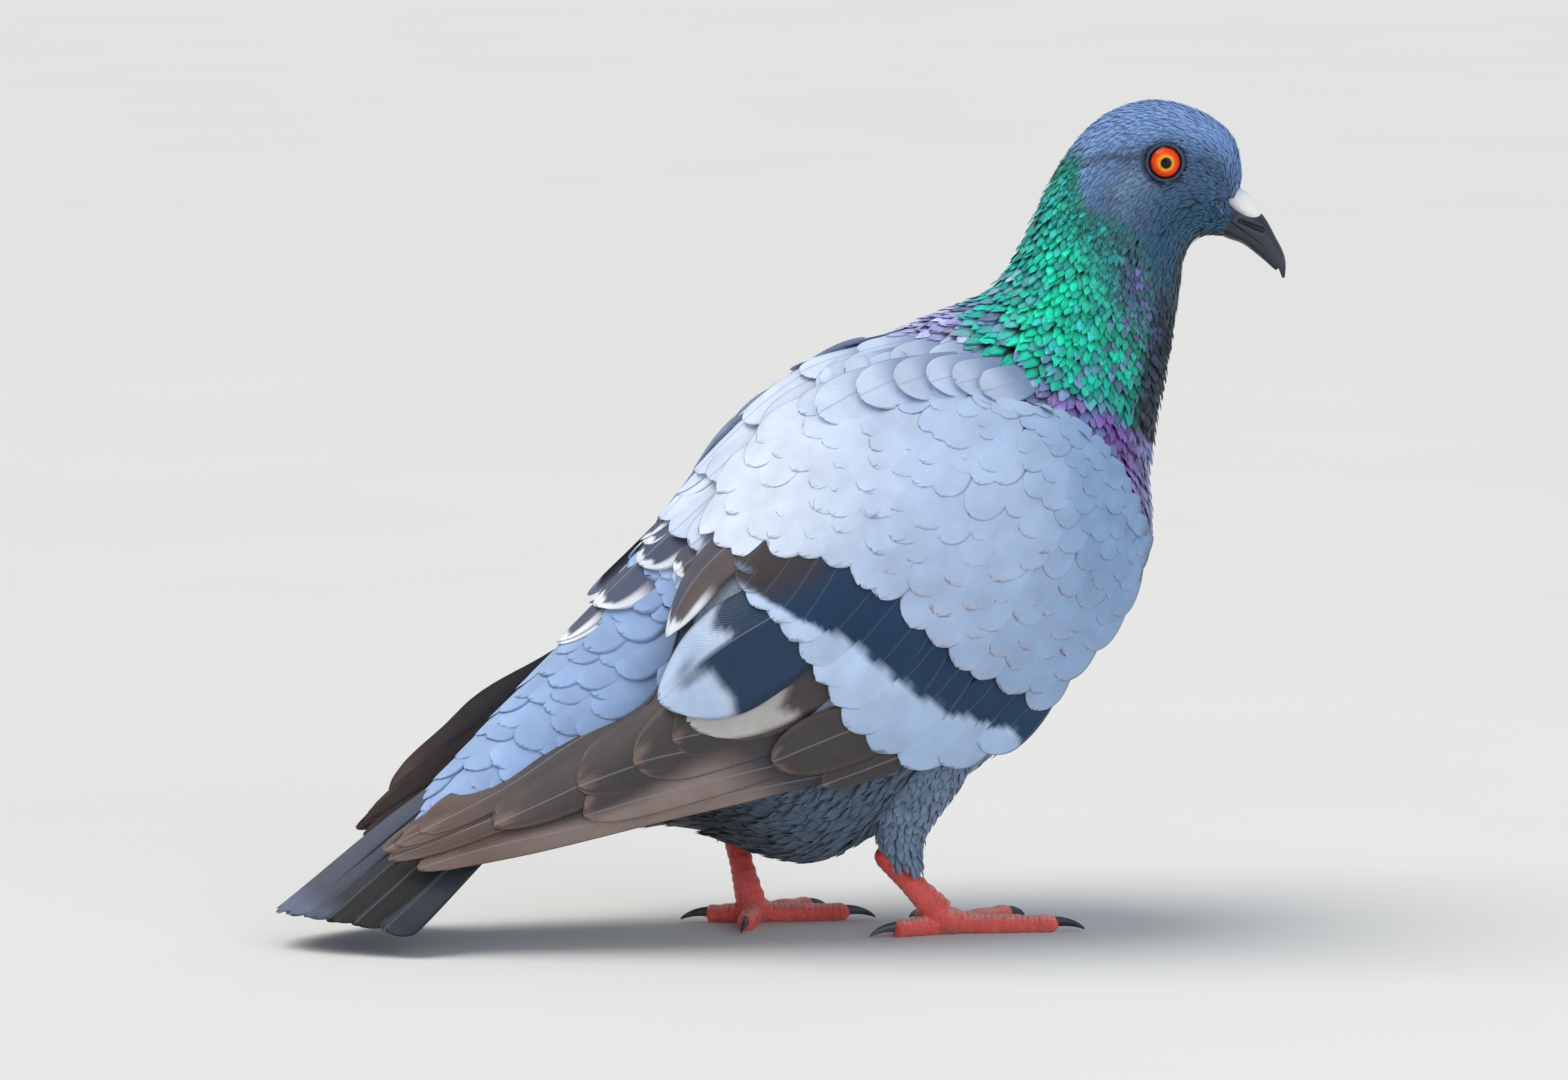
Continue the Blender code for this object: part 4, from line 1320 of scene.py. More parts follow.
def finished(thing: Thing, slot: str, *nodes: str) -> Thing:
    """Hangs a piece on the bird, hides the solids that it stands for, and reports it."""
    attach(thing, "root")
    if nodes:
        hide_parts(*nodes)
    triangles = sum(len(face.vertices) - 2 for face in thing.data.polygons)
    log.info("%s: %d triangles", thing.name, triangles)
    return thing


@dataclass
class Skin:
    """One skin over head, neck, trunk, thighs and wing pads, as deep under the solids as the coat is."""

    rings: int = 190
    sides: int = 128
    lid: float = 4.62  # radius of the middle of the lids' ring
    lid_thick: float = 0.54
    gape: tuple[Pair, ...] = ((1.35, 102.5), (1.05, 104), (0.75, 105.7), (0.45, 107.2))

    @staticmethod
    def depth(u: Array) -> Array:
        """How deep the skin lies: least on the face, most on the trunk."""
        return 0.45 + 0.4 * smooth(u, 0.2, 1.5) + 1.15 * smooth(u, 4, 5.5) + 0.6 * smooth(u, 8, 10)

    def body(self) -> Sheet:
        """The body's form moved in by the depth."""
        u, v = floats(np.linspace(0, BODY.last, self.rings)[:, None], circle(self.sides) - math.pi)
        points, _, _, normal = BODY.frame(u, v)
        points = points - normal * self.depth(u)[..., None]
        return tube(points, 0.7 * body_marking(u, v), flip=True)

    def seat(self) -> Sheet:
        """What is cut out of the face for the cere: the lobes, a little grown."""
        rings, _ = BILL.cere_rings()
        middle = np.array(BILL.cere_centre)
        return tube(turned(middle + 1.04 * (rings - middle)), linear("#5a5266"), flip=True)

    def thigh(self, side: str) -> Sheet:
        """A thigh's form moved in by the depth, closed at both ends."""
        form = THIGH_FORMS[side]
        u, v = floats(np.linspace(0, form.last, 40)[:, None], circle(48))
        points, _, _, normal = form.frame(u, v)
        deep = 1.6 - 1.1 * smooth(u, 0.6 * form.last, form.last)
        colour = mixed(0.55 * linear(Tint.BELLY), ("#7c2420", smooth(u, form.last - 0.35, form.last)))
        return tube(points - normal * deep[..., None], colour)

    def pad(self, side: str) -> Sheet:
        """A wing's flesh: a shell from under the coverts into the trunk, darkened as painted shade so that
        the gap in front of the wing reads as shadow.
        """
        form = WINGS[side]
        v = np.linspace(0.04, 0.96, 24)[None, :]
        end = np.interp(v, (0, 0.4, 1), (4.9, 6, 4.7))
        u = 0.6 + (end - 0.6) * np.linspace(0, 1, 60)[:, None]
        v = np.broadcast_to(v, u.shape)
        points, _, _, normal = form.frame(u, v)
        outer = points - normal * 2
        inner = outer.copy()
        inside = np.maximum(BODY.half_width(outer[..., 0], outer[..., 2]) - 5, 2)
        inner[..., 1] = -form.hand * np.minimum(inside, np.abs(outer[..., 1]) - 1)
        # painted shade: the pad is far darker than the wing so that it reads as the shadowed gap
        colour = 0.45 * wing_marking(u, v)
        ring, tint = (np.concatenate((a, b[:, ::-1]), axis=1) for a, b in ((outer, inner), (colour, colour)))
        return tube(ring, tint, flip=form.hand < 0, strip=True)

    def lids(self, sign: float) -> Sheet:
        """Bare grey lids: a ring round the eye, seated on the ball."""
        turn, small = circle(64), circle(14)
        wrinkle = 1 + 0.07 * np.sin(turn * 23)[:, None]
        off = self.lid + self.lid_thick * np.cos(small)[None, :] * wrinkle
        puff = 0.75 * self.lid_thick * np.sin(small)[None, :] * wrinkle
        out = EYES.profile(np.array(self.lid)) + 0.1 + puff
        x = EYES.centre[0] + off * np.cos(turn)[:, None]
        z = EYES.centre[2] + off * np.sin(turn)[:, None]
        rings = turned(np.stack((x, sign * np.broadcast_to(out, x.shape), z), axis=-1))
        count, sides = rings.shape[:2]
        index = np.arange(count * sides).reshape(count, sides)
        ahead, after = np.roll(index, -1, axis=0), np.roll(index, -1, axis=1)
        both = np.roll(ahead, -1, axis=1)
        faces = np.stack((index, ahead, both, after), axis=-1).reshape(-1, 4)
        colour = np.broadcast_to(linear("#4d5468"), (count * sides, 3))
        flat = rings.reshape(-1, 3)
        return Sheet(flat, faces[:, ::-1] if sign > 0 else faces, colour, np.zeros((len(flat), 2)))

    def gape_fold(self, sign: float) -> Sheet:
        """The pale fold of skin at the corner of the mouth."""
        line = along_line(self.gape, 12)
        points, _, _, normal = BODY.frame(line[:, 0], np.radians(line[:, 1]) * sign)
        swell = 0.42 * np.sqrt(np.sin(np.linspace(0.06, math.pi - 0.06, 12)))
        return tube(swept(points - 0.35 * normal, swell, 12), linear("#737a8e"))

    def build(self) -> None:
        """Makes the skin as one closed solid."""
        finish = BareSkin().made()
        body, seat = self.body(), self.seat()
        sheets = [self.thigh(side) for side in THIGHS] + [self.pad(side) for side in WINGS]
        for sign in (-1, 1):
            sheets += [self.lids(sign), self.gape_fold(sign)]
        skin = body.made("skin", finish)
        merged(skin, [seat.made("seat", finish)], "DIFFERENCE")
        merged(skin, [sheet.made("part", finish) for sheet in sheets])
        tinted(skin, [body, seat, *sheets])
        nodes = ["head", "neck", "trunk"]
        nodes += [f"{part}_{side}" for part in ("thigh", "wing") for side in ("right", "left")]
        finished(skin, "slate_plumage", *nodes)


@dataclass
class Bill:
    """Upper bill hooked over the lower one, with the nostrils' slits, and the cere's two lobes."""

    # culmen (x, z), cutting edge (x, z), lower edge (x, z) and half width, from the face to the tip
    stations: tuple[tuple[float, ...], ...] = (
        (117.4, 186.2, 113.6, 182.6, 113.2, 177.4, 4),
        (121.4, 184.9, 117.2, 180.2, 116.4, 176, 3.9),
        (125, 181.8, 120.4, 177.8, 119.4, 174.9, 3.5),
        (127.6, 177.2, 123.8, 175.2, 122.6, 172.6, 2.8),
        (129.4, 173.8, 126.6, 172.4, 125.4, 170.3, 2),
        (130.5, 170.2, 128.6, 169.2, 127.8, 168.2, 1.2),
        (130.3, 166.2, 129.8, 166.2, 129, 167.6, 0.4),
    )
    lower_end: float = 5.1
    parting: float = 0.05  # half the dark line between the closed bills
    nostril: tuple[Pair, Pair] = ((118.4, 181.2), (124.4, 178.7))
    cere_half: Triple = (6.3, 5.3, 3.2)
    cere_centre: Triple = (118.9, 0, 185.7)
    cere_slope: float = math.radians(-38)

    def half(self, last: float, low: int, high: int) -> Array:
        """Rings of one half of the bill: an arch from the cutting edge over its round edge.

        The arch is the half width times the cosine sideways and the height times the sine to the
        power 0.85 upright, over a slightly hollow base.
        """
        table = Curve(self.stations)
        at = last * np.linspace(0, 1, 150) ** 0.9
        row = table(at)
        top, base = row[:, high : high + 2], row[:, low : low + 2]
        up = unit(top - base)
        base = base + up * self.parting * (1 - 5 * smooth(at, 3, 4.2))[:, None]
        arc = np.linspace(0, math.pi, 64)
        rise = np.concatenate((np.sin(arc) ** 0.85, np.zeros(6)))
        wide = np.concatenate((np.cos(arc), np.linspace(-0.8, 0.8, 6)))
        x, z = (base[:, k : k + 1] + (top - base)[:, k : k + 1] * rise for k in (0, 1))
        return np.stack((x, row[:, 6:7] * wide, z), axis=-1)

    def slit(self, rings: Array) -> tuple[Array, Array]:
        """The nostrils' slits pressed into the sides, and how deep each point lies in one."""
        start, end = np.array(self.nostril)
        line = end - start
        place = rings[..., [0, 2]] - start
        share = np.clip((place * line).sum(-1) / (line * line).sum(), 0, 1)
        off = np.linalg.norm(place - share[..., None] * line, axis=-1)
        deep = np.exp(-((off / (0.3 + 0.35 * share)) ** 4)) * (np.abs(rings[..., 1]) > 1)
        swell = np.exp(-(((off - 1.3) / 0.9) ** 2)) * (rings[..., 2] > 176)
        rings = rings.copy()
        rings[..., 1] *= 1 - 0.22 * deep + 0.06 * swell
        return rings, deep

    def horn_colour(self, rings: Array, deep: Array | float) -> Array:
        """Charcoal, with a painted highlight along the ridge, darker towards the tip, and black in the
        nostril's slit as painted shade.
        """
        # painted highlight along the ridge, and painted shade in the nostril's slit
        ridge = ("#767b96", 0.45 * np.exp(-((rings[..., 1] / 0.9) ** 2)))
        return mixed("#2c313c", ridge, ("#23252e", smooth(rings[..., 2], 171, 167.5)), ("#0b0b0f", deep))

    def cere_rings(self) -> tuple[Array, Array]:
        """Two swollen lobes: an ellipsoid along the slope, creased above its middle line."""
        turn = circle(56)[None, :]
        step = np.sin(np.linspace(-1.5, 1.5, 44))[:, None]
        swell = np.sqrt(1 - step * step)
        crease = 1 - 0.34 * np.exp(-((3.2 * np.cos(turn)) ** 2)) * (np.sin(turn) > 0)
        crease = crease * (1 + 0.03 * np.sin(9 * turn + 7 * step))
        along = step * self.cere_half[0]
        lift = self.cere_half[2] * swell * np.sin(turn) * crease
        c, s = math.cos(self.cere_slope), math.sin(self.cere_slope)
        y = self.cere_half[1] * swell * np.cos(turn)
        rings = np.stack((along * c - lift * s, y, along * s + lift * c), axis=-1) + self.cere_centre
        return rings, mixed("#fffdfb", ("#b3a8cc", smooth(lift, -0.9, -2.9)))

    def nearness(self, local: Array) -> Array:
        """How near points of the unturned head are to the cere: 1 on its surface, less inside."""
        off = local - self.cere_centre
        c, s = math.cos(self.cere_slope), math.sin(self.cere_slope)
        along = off[..., 0] * c + off[..., 2] * s
        high = off[..., 2] * c - off[..., 0] * s
        return np.linalg.norm(np.stack((along, off[..., 1], high), axis=-1) / self.cere_half, axis=-1)

    def build(self) -> None:
        """Makes both halves of the bill, and the cere."""
        horn = MarkedKeratin("charcoal_bill_horn").made()
        upper, deep = self.slit(self.half(len(self.stations) - 1, 2, 0))
        piece = tube(turned(upper), self.horn_colour(upper, deep)).made("bill_above", horn)
        finished(piece, "bill_horn", "bill_upper")
        lower = self.half(self.lower_end, 2, 4)
        piece = tube(turned(lower), self.horn_colour(lower, 0) * 0.8, flip=True).made("bill_below", horn)
        finished(piece, "bill_horn", "bill_lower")
        rings, colour = self.cere_rings()
        piece = tube(turned(rings), colour, flip=True).made("cere_lobes", PowderedCere().made())
        finished(piece, "white_cere", "cere")


BILL = Bill()


@dataclass
class Leg:
    """One bare leg: tarsus, foot and toes as one skin with scutes, and a claw on each toe."""

    side: str
    tarsus: tuple[Triple, ...]
    hub: Triple
    toes: tuple[tuple[str, float, float], ...]  # name, heading in degrees from ahead to the left, length
    voxel: float = 0.3
    scute: float = 1.55  # millimetres between the scutes of a toe
    tarsus_scute: float = 2.1
    tarsus_radii: tuple[float, ...] = (3.2, 3.1, 4)
    toe_radii: tuple[float, ...] = (3, 2.55, 2.65, 2.4, 2.5, 1.6)
    toe_stops: tuple[float, ...] = (0, 0.3, 0.5, 0.72, 0.92, 1)
    sole: float = 0.45  # how much of the round toes is cut off so that they stand flat
    claw_length: float = 9.2
    claw_radius: float = 1.35

    def heading(self, degrees: float) -> Array:
        """The level direction of a toe."""
        return np.array((math.cos(math.radians(degrees)), math.sin(math.radians(degrees)), 0))

    def scuted(self, path: Array, radii: Array, spacing: float, deep: float, soles: bool) -> Array:
        """A tube whose upper side is stepped by scutes and whose sole is swollen into pads.

        The step is a saw tooth along the path: each scute rises from 0 to the depth and falls off
        sharply. It fades to nothing round the sides.
        """
        rings = swept(path, np.ones(len(path)), 40)
        reach, around = travelled(path), circle(40)
        phase = (reach / spacing) % 1
        tooth = smooth(phase, 0, 0.35) * smooth(phase, 1, 0.86)
        above = smooth(np.sin(around), -0.15, 0.45) if soles else smooth(-np.sin(around), -0.2, 0.5)
        pads = 0.5 + 0.5 * np.cos(reach / 1.6 * math.pi)
        rough = -deep * (1 - tooth)[:, None] * above * (0.75 + 0.25 * np.sin(7 * around + reach[:, None]))
        rough = rough - 0.3 * pads[:, None] * (1 - above)
        return path[:, None] + (rings - path[:, None]) * (radii[:, None, None] + rough[..., None])

    def toe(self, degrees: float, length: float) -> tuple[Array, Array]:
        """A toe's middle line and radii, padded at its joints."""
        at = np.linspace(0, 1, 120)
        param = np.interp(at, self.toe_stops, np.arange(len(self.toe_stops)))
        radius = Curve(np.array(self.toe_radii)[:, None])(param)[:, 0]
        path = np.array(self.hub) + self.heading(degrees) * (at[:, None] * length)
        path[:, 2] = np.interp(at, self.toe_stops, self.toe_radii) - self.sole
        path[:, 2] = np.where(at > self.toe_stops[-2], self.toe_radii[-2] - self.sole, path[:, 2])
        return path, radius

    def colours(self, points: Array, normals: Array) -> Array:
        """Coral scutes with dark grooves between them, a painted highlight on the upward faces, paler soles,
        and a darker upper tarsus.
        """
        best = np.full(len(points), 99)
        groove = np.zeros(len(points))
        lines = [(self.toe(degrees, length)[0], self.scute) for _, degrees, length in self.toes]
        lines.append((Curve(self.tarsus)(np.linspace(0, 2, 120)), self.tarsus_scute))
        for path, spacing in lines:
            gaps = np.linalg.norm(points[:, None] - path[None], axis=-1)
            off = gaps.min(axis=1)
            phase = (travelled(path)[gaps.argmin(axis=1)] / spacing) % 1
            line = 1 - smooth(phase, 0, 0.22) * smooth(phase, 1, 0.9)
            groove = np.where(off < best, line, groove)
            best = np.minimum(off, best)
        up = normals[:, 2]
        return mixed(
            "#ff665c",
            ("#dc3c32", 0.55 * groove * smooth(up, -0.3, 0.3)),
            # painted highlight: paler where the surface faces up
            ("#ffb4ac", 0.85 * smooth(up, 0.35, 0.95) * (1 - groove)),
            ("#e08a80", smooth(-up, 0.4, 0.9)),
            ("#cb3220", 0.8 * smooth(points[:, 2], 9, 20)),
        )

    def build(self, finish: Material, horn: Material) -> None:
        """Makes the leg and its claws."""
        at = np.linspace(-0.1, 2, 160)
        tarsus = Curve(self.tarsus)(at)
        heel = np.sqrt(np.clip(1 - ((0.22 - np.minimum(at, 0.22)) / 0.33) ** 2, 0, 1))
        radii = np.interp(at, (0, 1, 2), self.tarsus_radii) * heel
        sheets = [tube(self.scuted(tarsus, radii, self.tarsus_scute, 0.34, False), np.ones(3), flip=True)]
        ball = np.linspace(-1.45, 1.45, 20)
        middle = np.array(self.hub) + np.sin(ball)[:, None] * np.array((4.8, 0, 0))
        sheets.append(tube(swept(middle, 3.5 * np.cos(ball), 24, 1.2), np.ones(3), flip=True))
        for _, degrees, length in self.toes:
            path, radius = self.toe(degrees, length)
            end = np.sqrt(np.clip(1 - (np.linspace(0, 1, len(path)) / 1.01) ** 22, 0, 1))
            toe = self.scuted(path, radius * end, self.scute, 0.26, True)
            sheets.append(tube(toe, np.ones(3), flip=True))
        rough = Sheet.joined(sheets).made("rough_leg", finish)
        modifier = rough.modifiers.new("skin", "REMESH")
        modifier.mode = "VOXEL"
        modifier.voxel_size = self.voxel * MM
        mesh = applied(rough)
        bpy.data.objects.remove(rough)
        points, normals = np.empty((2, 3 * len(mesh.vertices)))
        mesh.vertices.foreach_get("co", points)
        mesh.vertices.foreach_get("normal", normals)
        faces = np.empty(len(mesh.loops), dtype=np.int32)
        mesh.loops.foreach_get("vertex_index", faces)
        points = points.reshape(-1, 3) / MM + BOX_MIDDLE
        bpy.data.meshes.remove(mesh)
        colour = self.colours(points, normals.reshape(-1, 3))
        points[:, 2] = np.maximum(points[:, 2], 0)
        leg = Sheet(points, faces.reshape(-1, 4), colour, np.zeros((len(points), 2)))
        leg = leg.made(f"bare_leg_{self.side}", finish)
        finished(leg, "red_leg", f"tarsus_{self.side}", f"foot_{self.side}")
        for name, degrees, length in self.toes:
            claw = self.claw(degrees, length).made(f"nail_{self.side}_{name}", horn)
            finished(claw, "dark_claw", f"claw_{self.side}_{name}")

    def claw(self, degrees: float, length: float) -> Sheet:
        """One claw, which leaves the toe's end high and curves down towards the floor."""
        s = np.linspace(0, 1, 40)[:, None]
        ahead = self.heading(degrees)
        path = np.array(self.hub) + ahead * (length - 1.8) + ahead * self.claw_length * (s - 0.1 * s**3)
        high = self.toe_radii[-2] - self.sole + 0.45
        path[:, 2] = (high + 0.9 * s - (high + 0.3) * s**2)[:, 0]
        radii = self.claw_radius * (1 - s[:, 0]) ** 0.7 + 0.12
        return tube(swept(path, radii, 20, 0.82), linear("#3b3f48"), flip=True)


LEGS = (
    Leg(
        "right",
        ((22.6, -17, 22), (30, -16.3, 14), (38.2, -15.2, 5.6)),
        (40.6, -15, 3.3),
        (("outer", -7, 28.5), ("middle", 40, 26), ("inner", 102, 17.5), ("hind", 193, 15.8)),
    ),
    Leg(
        "left",
        ((-9.6, 15.6, 26), (-7.2, 14.6, 15), (-5, 13.4, 5.2)),
        (-4.2, 13.4, 3.3),
        (("middle", -4, 25), ("outer", 34, 21), ("inner", -110, 16.5), ("hind", 166, 12.5)),
    ),
)


# ---- Small feathers ----


@dataclass
class Coat:
    """One piece of the coat, whose tracts are gathered before they become one mesh."""

    name: str
    finish: Feathering
    sheets: list[Sheet] = field(default_factory=list)

    def put(self, vanes: Vanes, colour: Array, bake: Array) -> None:
        """Adds a tract with its points' colours and its patches on the map."""
        vanes.sheet.colour = colour
        vanes.sheet.bake = bake
        self.sheets.append(vanes.sheet)

    def built(self, slot: str, *nodes: str) -> Thing:
        """The piece, hung on the bird in place of the named solids."""
        piece = Sheet.joined(self.sheets).made(self.name, self.finish.made())
        return finished(piece, slot, *nodes)


@dataclass(frozen=True)
class Tract:
    """A field of small feathers on the body. Pairs run evenly from its first station to its last."""

    stations: Pair
    spacing: Pair  # real distance between rows, and between places in a row
    length: Pair
    width: Pair
    cut: Cut
    degrees: Pair = (-180, 180)
    base: float = -2
    lift: float = -0.1
    scatter: float = 0.1
    turn: float = 6
    ruffle: float = 0  # random height of the tips

    def places(self, dice: Dice) -> tuple[Array, Array]:
        """Where its feathers may grow."""
        first, last = np.radians(self.degrees)
        return staggered(BODY, *self.stations, self.spacing, (first, last), dice)

    def grown(self, u: Array, v: Array, dice: Dice) -> tuple[Vanes, Roots]:
        """Its feathers at the given places, shorter before the eye."""
        share = (u - self.stations[0]) / (self.stations[1] - self.stations[0])
        length = self.length[0] + (self.length[1] - self.length[0]) * share
        width = self.width[0] + (self.width[1] - self.width[0]) * share
        for share in (0.65, 0.5):
            tip = BODY.points(*BODY.walked(u, v, along_u(), np.broadcast_to(length, u.shape)))
            length = np.where(EYES.distance(tip) < 5.1, share, 1) * length
        lift = self.lift + self.ruffle * dice.uniform(-0.5, 1, len(u))
        growth = Growth(self.cut, length, width, self.base, lift, self.scatter, self.turn)
        return growth.grown(BODY, u, v, dice)


def zone_of(u: Array, v: Array, dice: Dice) -> Array:
    """0 on the head, 1 on the neck and 2 on the trunk, with a ragged edge between them."""
    angle = from_top(v)
    ragged = dice.uniform(-1, 1, len(u))
    on_neck = u > read_at(HEAD_EDGE, angle) + 0.3 * ragged
    return on_neck * 1 + (u > read_at(VIOLET_EDGE, angle) + 0.12 * ragged) * 1


def wing_rise(points: Array, normal: Array) -> Array:
    """How high the wings stand over places on the body: 0 where no wing is above.

    Args:
        points: The places.
        normal: The outward directions there.

    Returns:
        Millimetres.
    """
    a = np.linspace(0.1, 6.8, 70)[:, None]
    b = np.linspace(0.02, 0.98, 36)[None, :]
    cover = np.concatenate([wing.points(a, b).reshape(-1, 3) for wing in WINGS.values()])
    rise = np.zeros(len(points))
    for start in range(0, len(points), 400):
        part = slice(start, start + 400)
        gap = cover[None] - points[part, None]
        high = (gap * normal[part, None]).sum(-1)
        off = np.sqrt(np.clip((gap**2).sum(-1) - high**2, 0, None))
        rise[part] = np.where((off < 2) & (high > 0) & (high < 12), high, 0).max(axis=1)
    return rise


def body_patches(vanes: Vanes, roots: Roots) -> Array:
    """Each feather's patch at its root's station and angle."""
    return tuft_patches(vanes, roots.u / BODY.last, (roots.v / (2 * math.pi) + 0.5) % 1)


@dataclass
class BodyCoat:
    """The small feathers of one zone: head, neck or trunk."""

    coat: Coat
    zone: int
    tracts: tuple[Tract, ...]
    slot: str
    root_shade: float = 0  # how far the darkened root of each feather shows, as a share of its length: painted shade for the gaps between the tips
    vary: float = 0.07
    margin: float = 0.14  # how much paler each feather's edge is
    second: Heading | None = None  # colours that some of the feathers show instead

    def grow(self, tract: Tract, dice: Dice) -> None:
        """Grows one tract where it isn't under a wing, over the bill or on an eye."""
        u, v = tract.places(dice)
        places, _, _, normal = BODY.frame(u, v)
        keep = zone_of(u, v, dice) == self.zone
        if self.zone == 2:
            keep &= wing_rise(places, normal) < np.where((from_top(v) > 80) | (u > 12.5), 9, 3)
            keep &= (u < 17.5) | (from_top(v) < 50) | (from_top(v) > 105)
        local = turned(places, -1)
        keep &= (EYES.distance(places) > 5.2) & (BILL.nearness(local) > 1.16)
        u, v = u[keep], v[keep]
        vanes, roots = tract.grown(u, v, dice)
        colours = body_marking(roots.u + 0.6 * (roots.tip_u - roots.u), roots.v)
        if self.second:
            share = 0.85 * smooth(dice.random(len(u)), 0.5, 0.95) * (1 - 0.8 * smooth(from_top(v), 115, 145))
            colours = mixed(colours, (self.second(roots.tip_u, roots.v), share))
        tint = feather_tints(vanes, colours, dice, self.vary)
        rim = smooth(np.abs(vanes.across), 0.55, 1) * 0.5 + smooth(vanes.along, 0.8, 1)
        tint = tint * (1 + self.margin * np.clip(rim, 0, 1))[:, None]
        # painted shade: each feather is darker towards its root, under the feathers that overlap it
        tint = tint * (0.8 + 0.2 * smooth(vanes.along, 0.2, 0.7))[:, None]
        # painted shade: each neck feather turns near black towards its root, so the gaps between the tips
        # read as shadow
        if self.root_shade:
            dark = 1 - smooth(vanes.along, self.root_shade - 0.1, self.root_shade + 0.12)
            tint = mixed(tint, (Tint.NECK_ROOT_SHADE, dark))
        self.coat.put(vanes, tint, body_patches(vanes, roots))

    def build(self, dice: Dice) -> None:
        """Makes the piece."""
        for tract in self.tracts:
            self.grow(tract, dice)
        self.coat.built(self.slot)


SOFT = Cut(rows=8, columns=7, root=0.5, widest=0.6, thickness=0.1, droop=0.06, tilt=0, fray=0.07, rise=0.6)
TUFT = Cut(rows=4, columns=3, root=0.55, widest=0.5, pointed=0.35, thickness=0.07, droop=0.1, fray=0.1)
BLADE = Cut(6, 7, root=0.4, widest=0.6, pointed=0.5, thickness=0.1, droop=0.12, fray=0.2, rise=0.7)
DOWN = Cut(rows=6, columns=5, root=0.5, widest=0.55, pointed=0.45, thickness=0.1, droop=0.12, fray=0.3)
SCALLOP = Cut(rows=12, columns=11, root=0.5, widest=0.64, thickness=0.1, droop=0.07, fray=0.03)


def body_coats() -> list[BodyCoat]:
    """The pieces of the body's coat, from the face backwards."""
    head = (
        Tract((0.04, 1), (0.8, 0.8), (2, 2.8), (1, 1.25), TUFT, base=-0.4, lift=-0.04, ruffle=0.06),
        Tract((1, 5.3), (1.05, 0.95), (2.8, 4.4), (1.25, 1.8), TUFT, base=-0.6, lift=-0.05, ruffle=0.09),
    )
    neck = (
        Tract((4, 5.6), (1.5, 1.3), (4.6, 6.2), (1.8, 2.5), BLADE, base=-1.2, lift=0, ruffle=0.35),
        Tract((5.6, 7.4), (2.5, 2.1), (6.6, 8.4), (2.8, 3.6), BLADE, base=-1.6, lift=0, ruffle=0.45),
        Tract((7.4, 10), (3, 2.5), (8.6, 10.4), (3.9, 4.7), BLADE, base=-1.8, lift=0, ruffle=0.45),
    )
    back = (
        Tract((8.2, 11), (3.8, 3.6), (12, 15), (6, 8.5), SOFT, (-85, 85), -1.4, 0, ruffle=0.25),
        Tract((11, 13.7), (5, 5), (16, 20), (9, 11.5), SOFT, (-75, 75), -1.2, 0.3, ruffle=0.25),
    )
    rump = (Tract((13, 18.4), (7.6, 7), (21, 22), (13, 14), SCALLOP, (-95, 95), -1.2, 0.1),)
    breast = (Tract((8.2, 11.2), (3.2, 2.8), (10, 12), (4.8, 5.8), SOFT, (70, 290), -1.4, 0, ruffle=0.25),)
    belly = (
        Tract((11.2, 15), (2.8, 2.4), (13, 16), (3.6, 4.4), DOWN, (70, 290), -1.9, 0.1, ruffle=0.7),
        Tract((15, 18.6), (5.2, 4.6), (15, 17), (7, 8), SOFT, (75, 285), -1.6, 0),
    )
    glossy = Feathering("neck_gloss", 0.4, 0.3, 0.42, 0.05, 0.4, 0.25)
    fine = Feathering("head_plumage", 0.35, 0.2)
    front = {"vary": 0.4, "margin": 0.15, "second": neck_second}
    coats = [
        BodyCoat(Coat("head_feathers", fine), 0, head, "slate_plumage", vary=0.1),
        BodyCoat(Coat("neck_feathers", glossy), 1, neck, "green_plumage", 0.46, **front),
    ]
    for name, tracts, slot, more in (
        ("back", back, "pale_plumage", {"vary": 0.04}),
        ("rump", rump, "slate_plumage", {"margin": 0.1}),
        ("breast", breast, "slate_plumage", {}),
        ("belly", belly, "slate_plumage", {}),
    ):
        finish = Feathering(f"{name}_plumage", barb_depth=0.15, roughness=0.68)
        coats.append(BodyCoat(Coat(f"{name}_feathers", finish), 2, tracts, slot, **more))
    return coats


def thigh_feathers(dice: Dice) -> None:
    """Soft narrow feathers down both thighs, to a ragged end on the tarsus."""
    coat = Coat("thigh_feathers", Feathering("thigh_plumage"))
    for form in THIGH_FORMS.values():
        u, v = staggered(form, 0.2, form.last - 0.25, (2.6, 2.2), (0, 2 * math.pi), dice)
        size = 1 - 0.55 * u / form.last
        vanes, roots = Growth(DOWN, 10 * size, 3.6 * size, -1.4 * size, 0.15, 0.15, 8).grown(form, u, v, dice)
        colours = mixed(Tint.BELLY, (Tint.VENT, np.full(len(u), 0.1)))
        # painted shade: darker towards each feather's root
        tint = feather_tints(vanes, colours, dice, 0.12) * (0.75 + 0.3 * vanes.along)[:, None]
        half = 0.25 if form is THIGH_FORMS["right"] else 0.75
        root_v = half + (roots.v / (2 * math.pi) - 0.5) * 0.48
        coat.put(vanes, tint, tuft_patches(vanes, roots.u / form.last, root_v))
    coat.built("slate_plumage")


# ---- Wings and tail ----

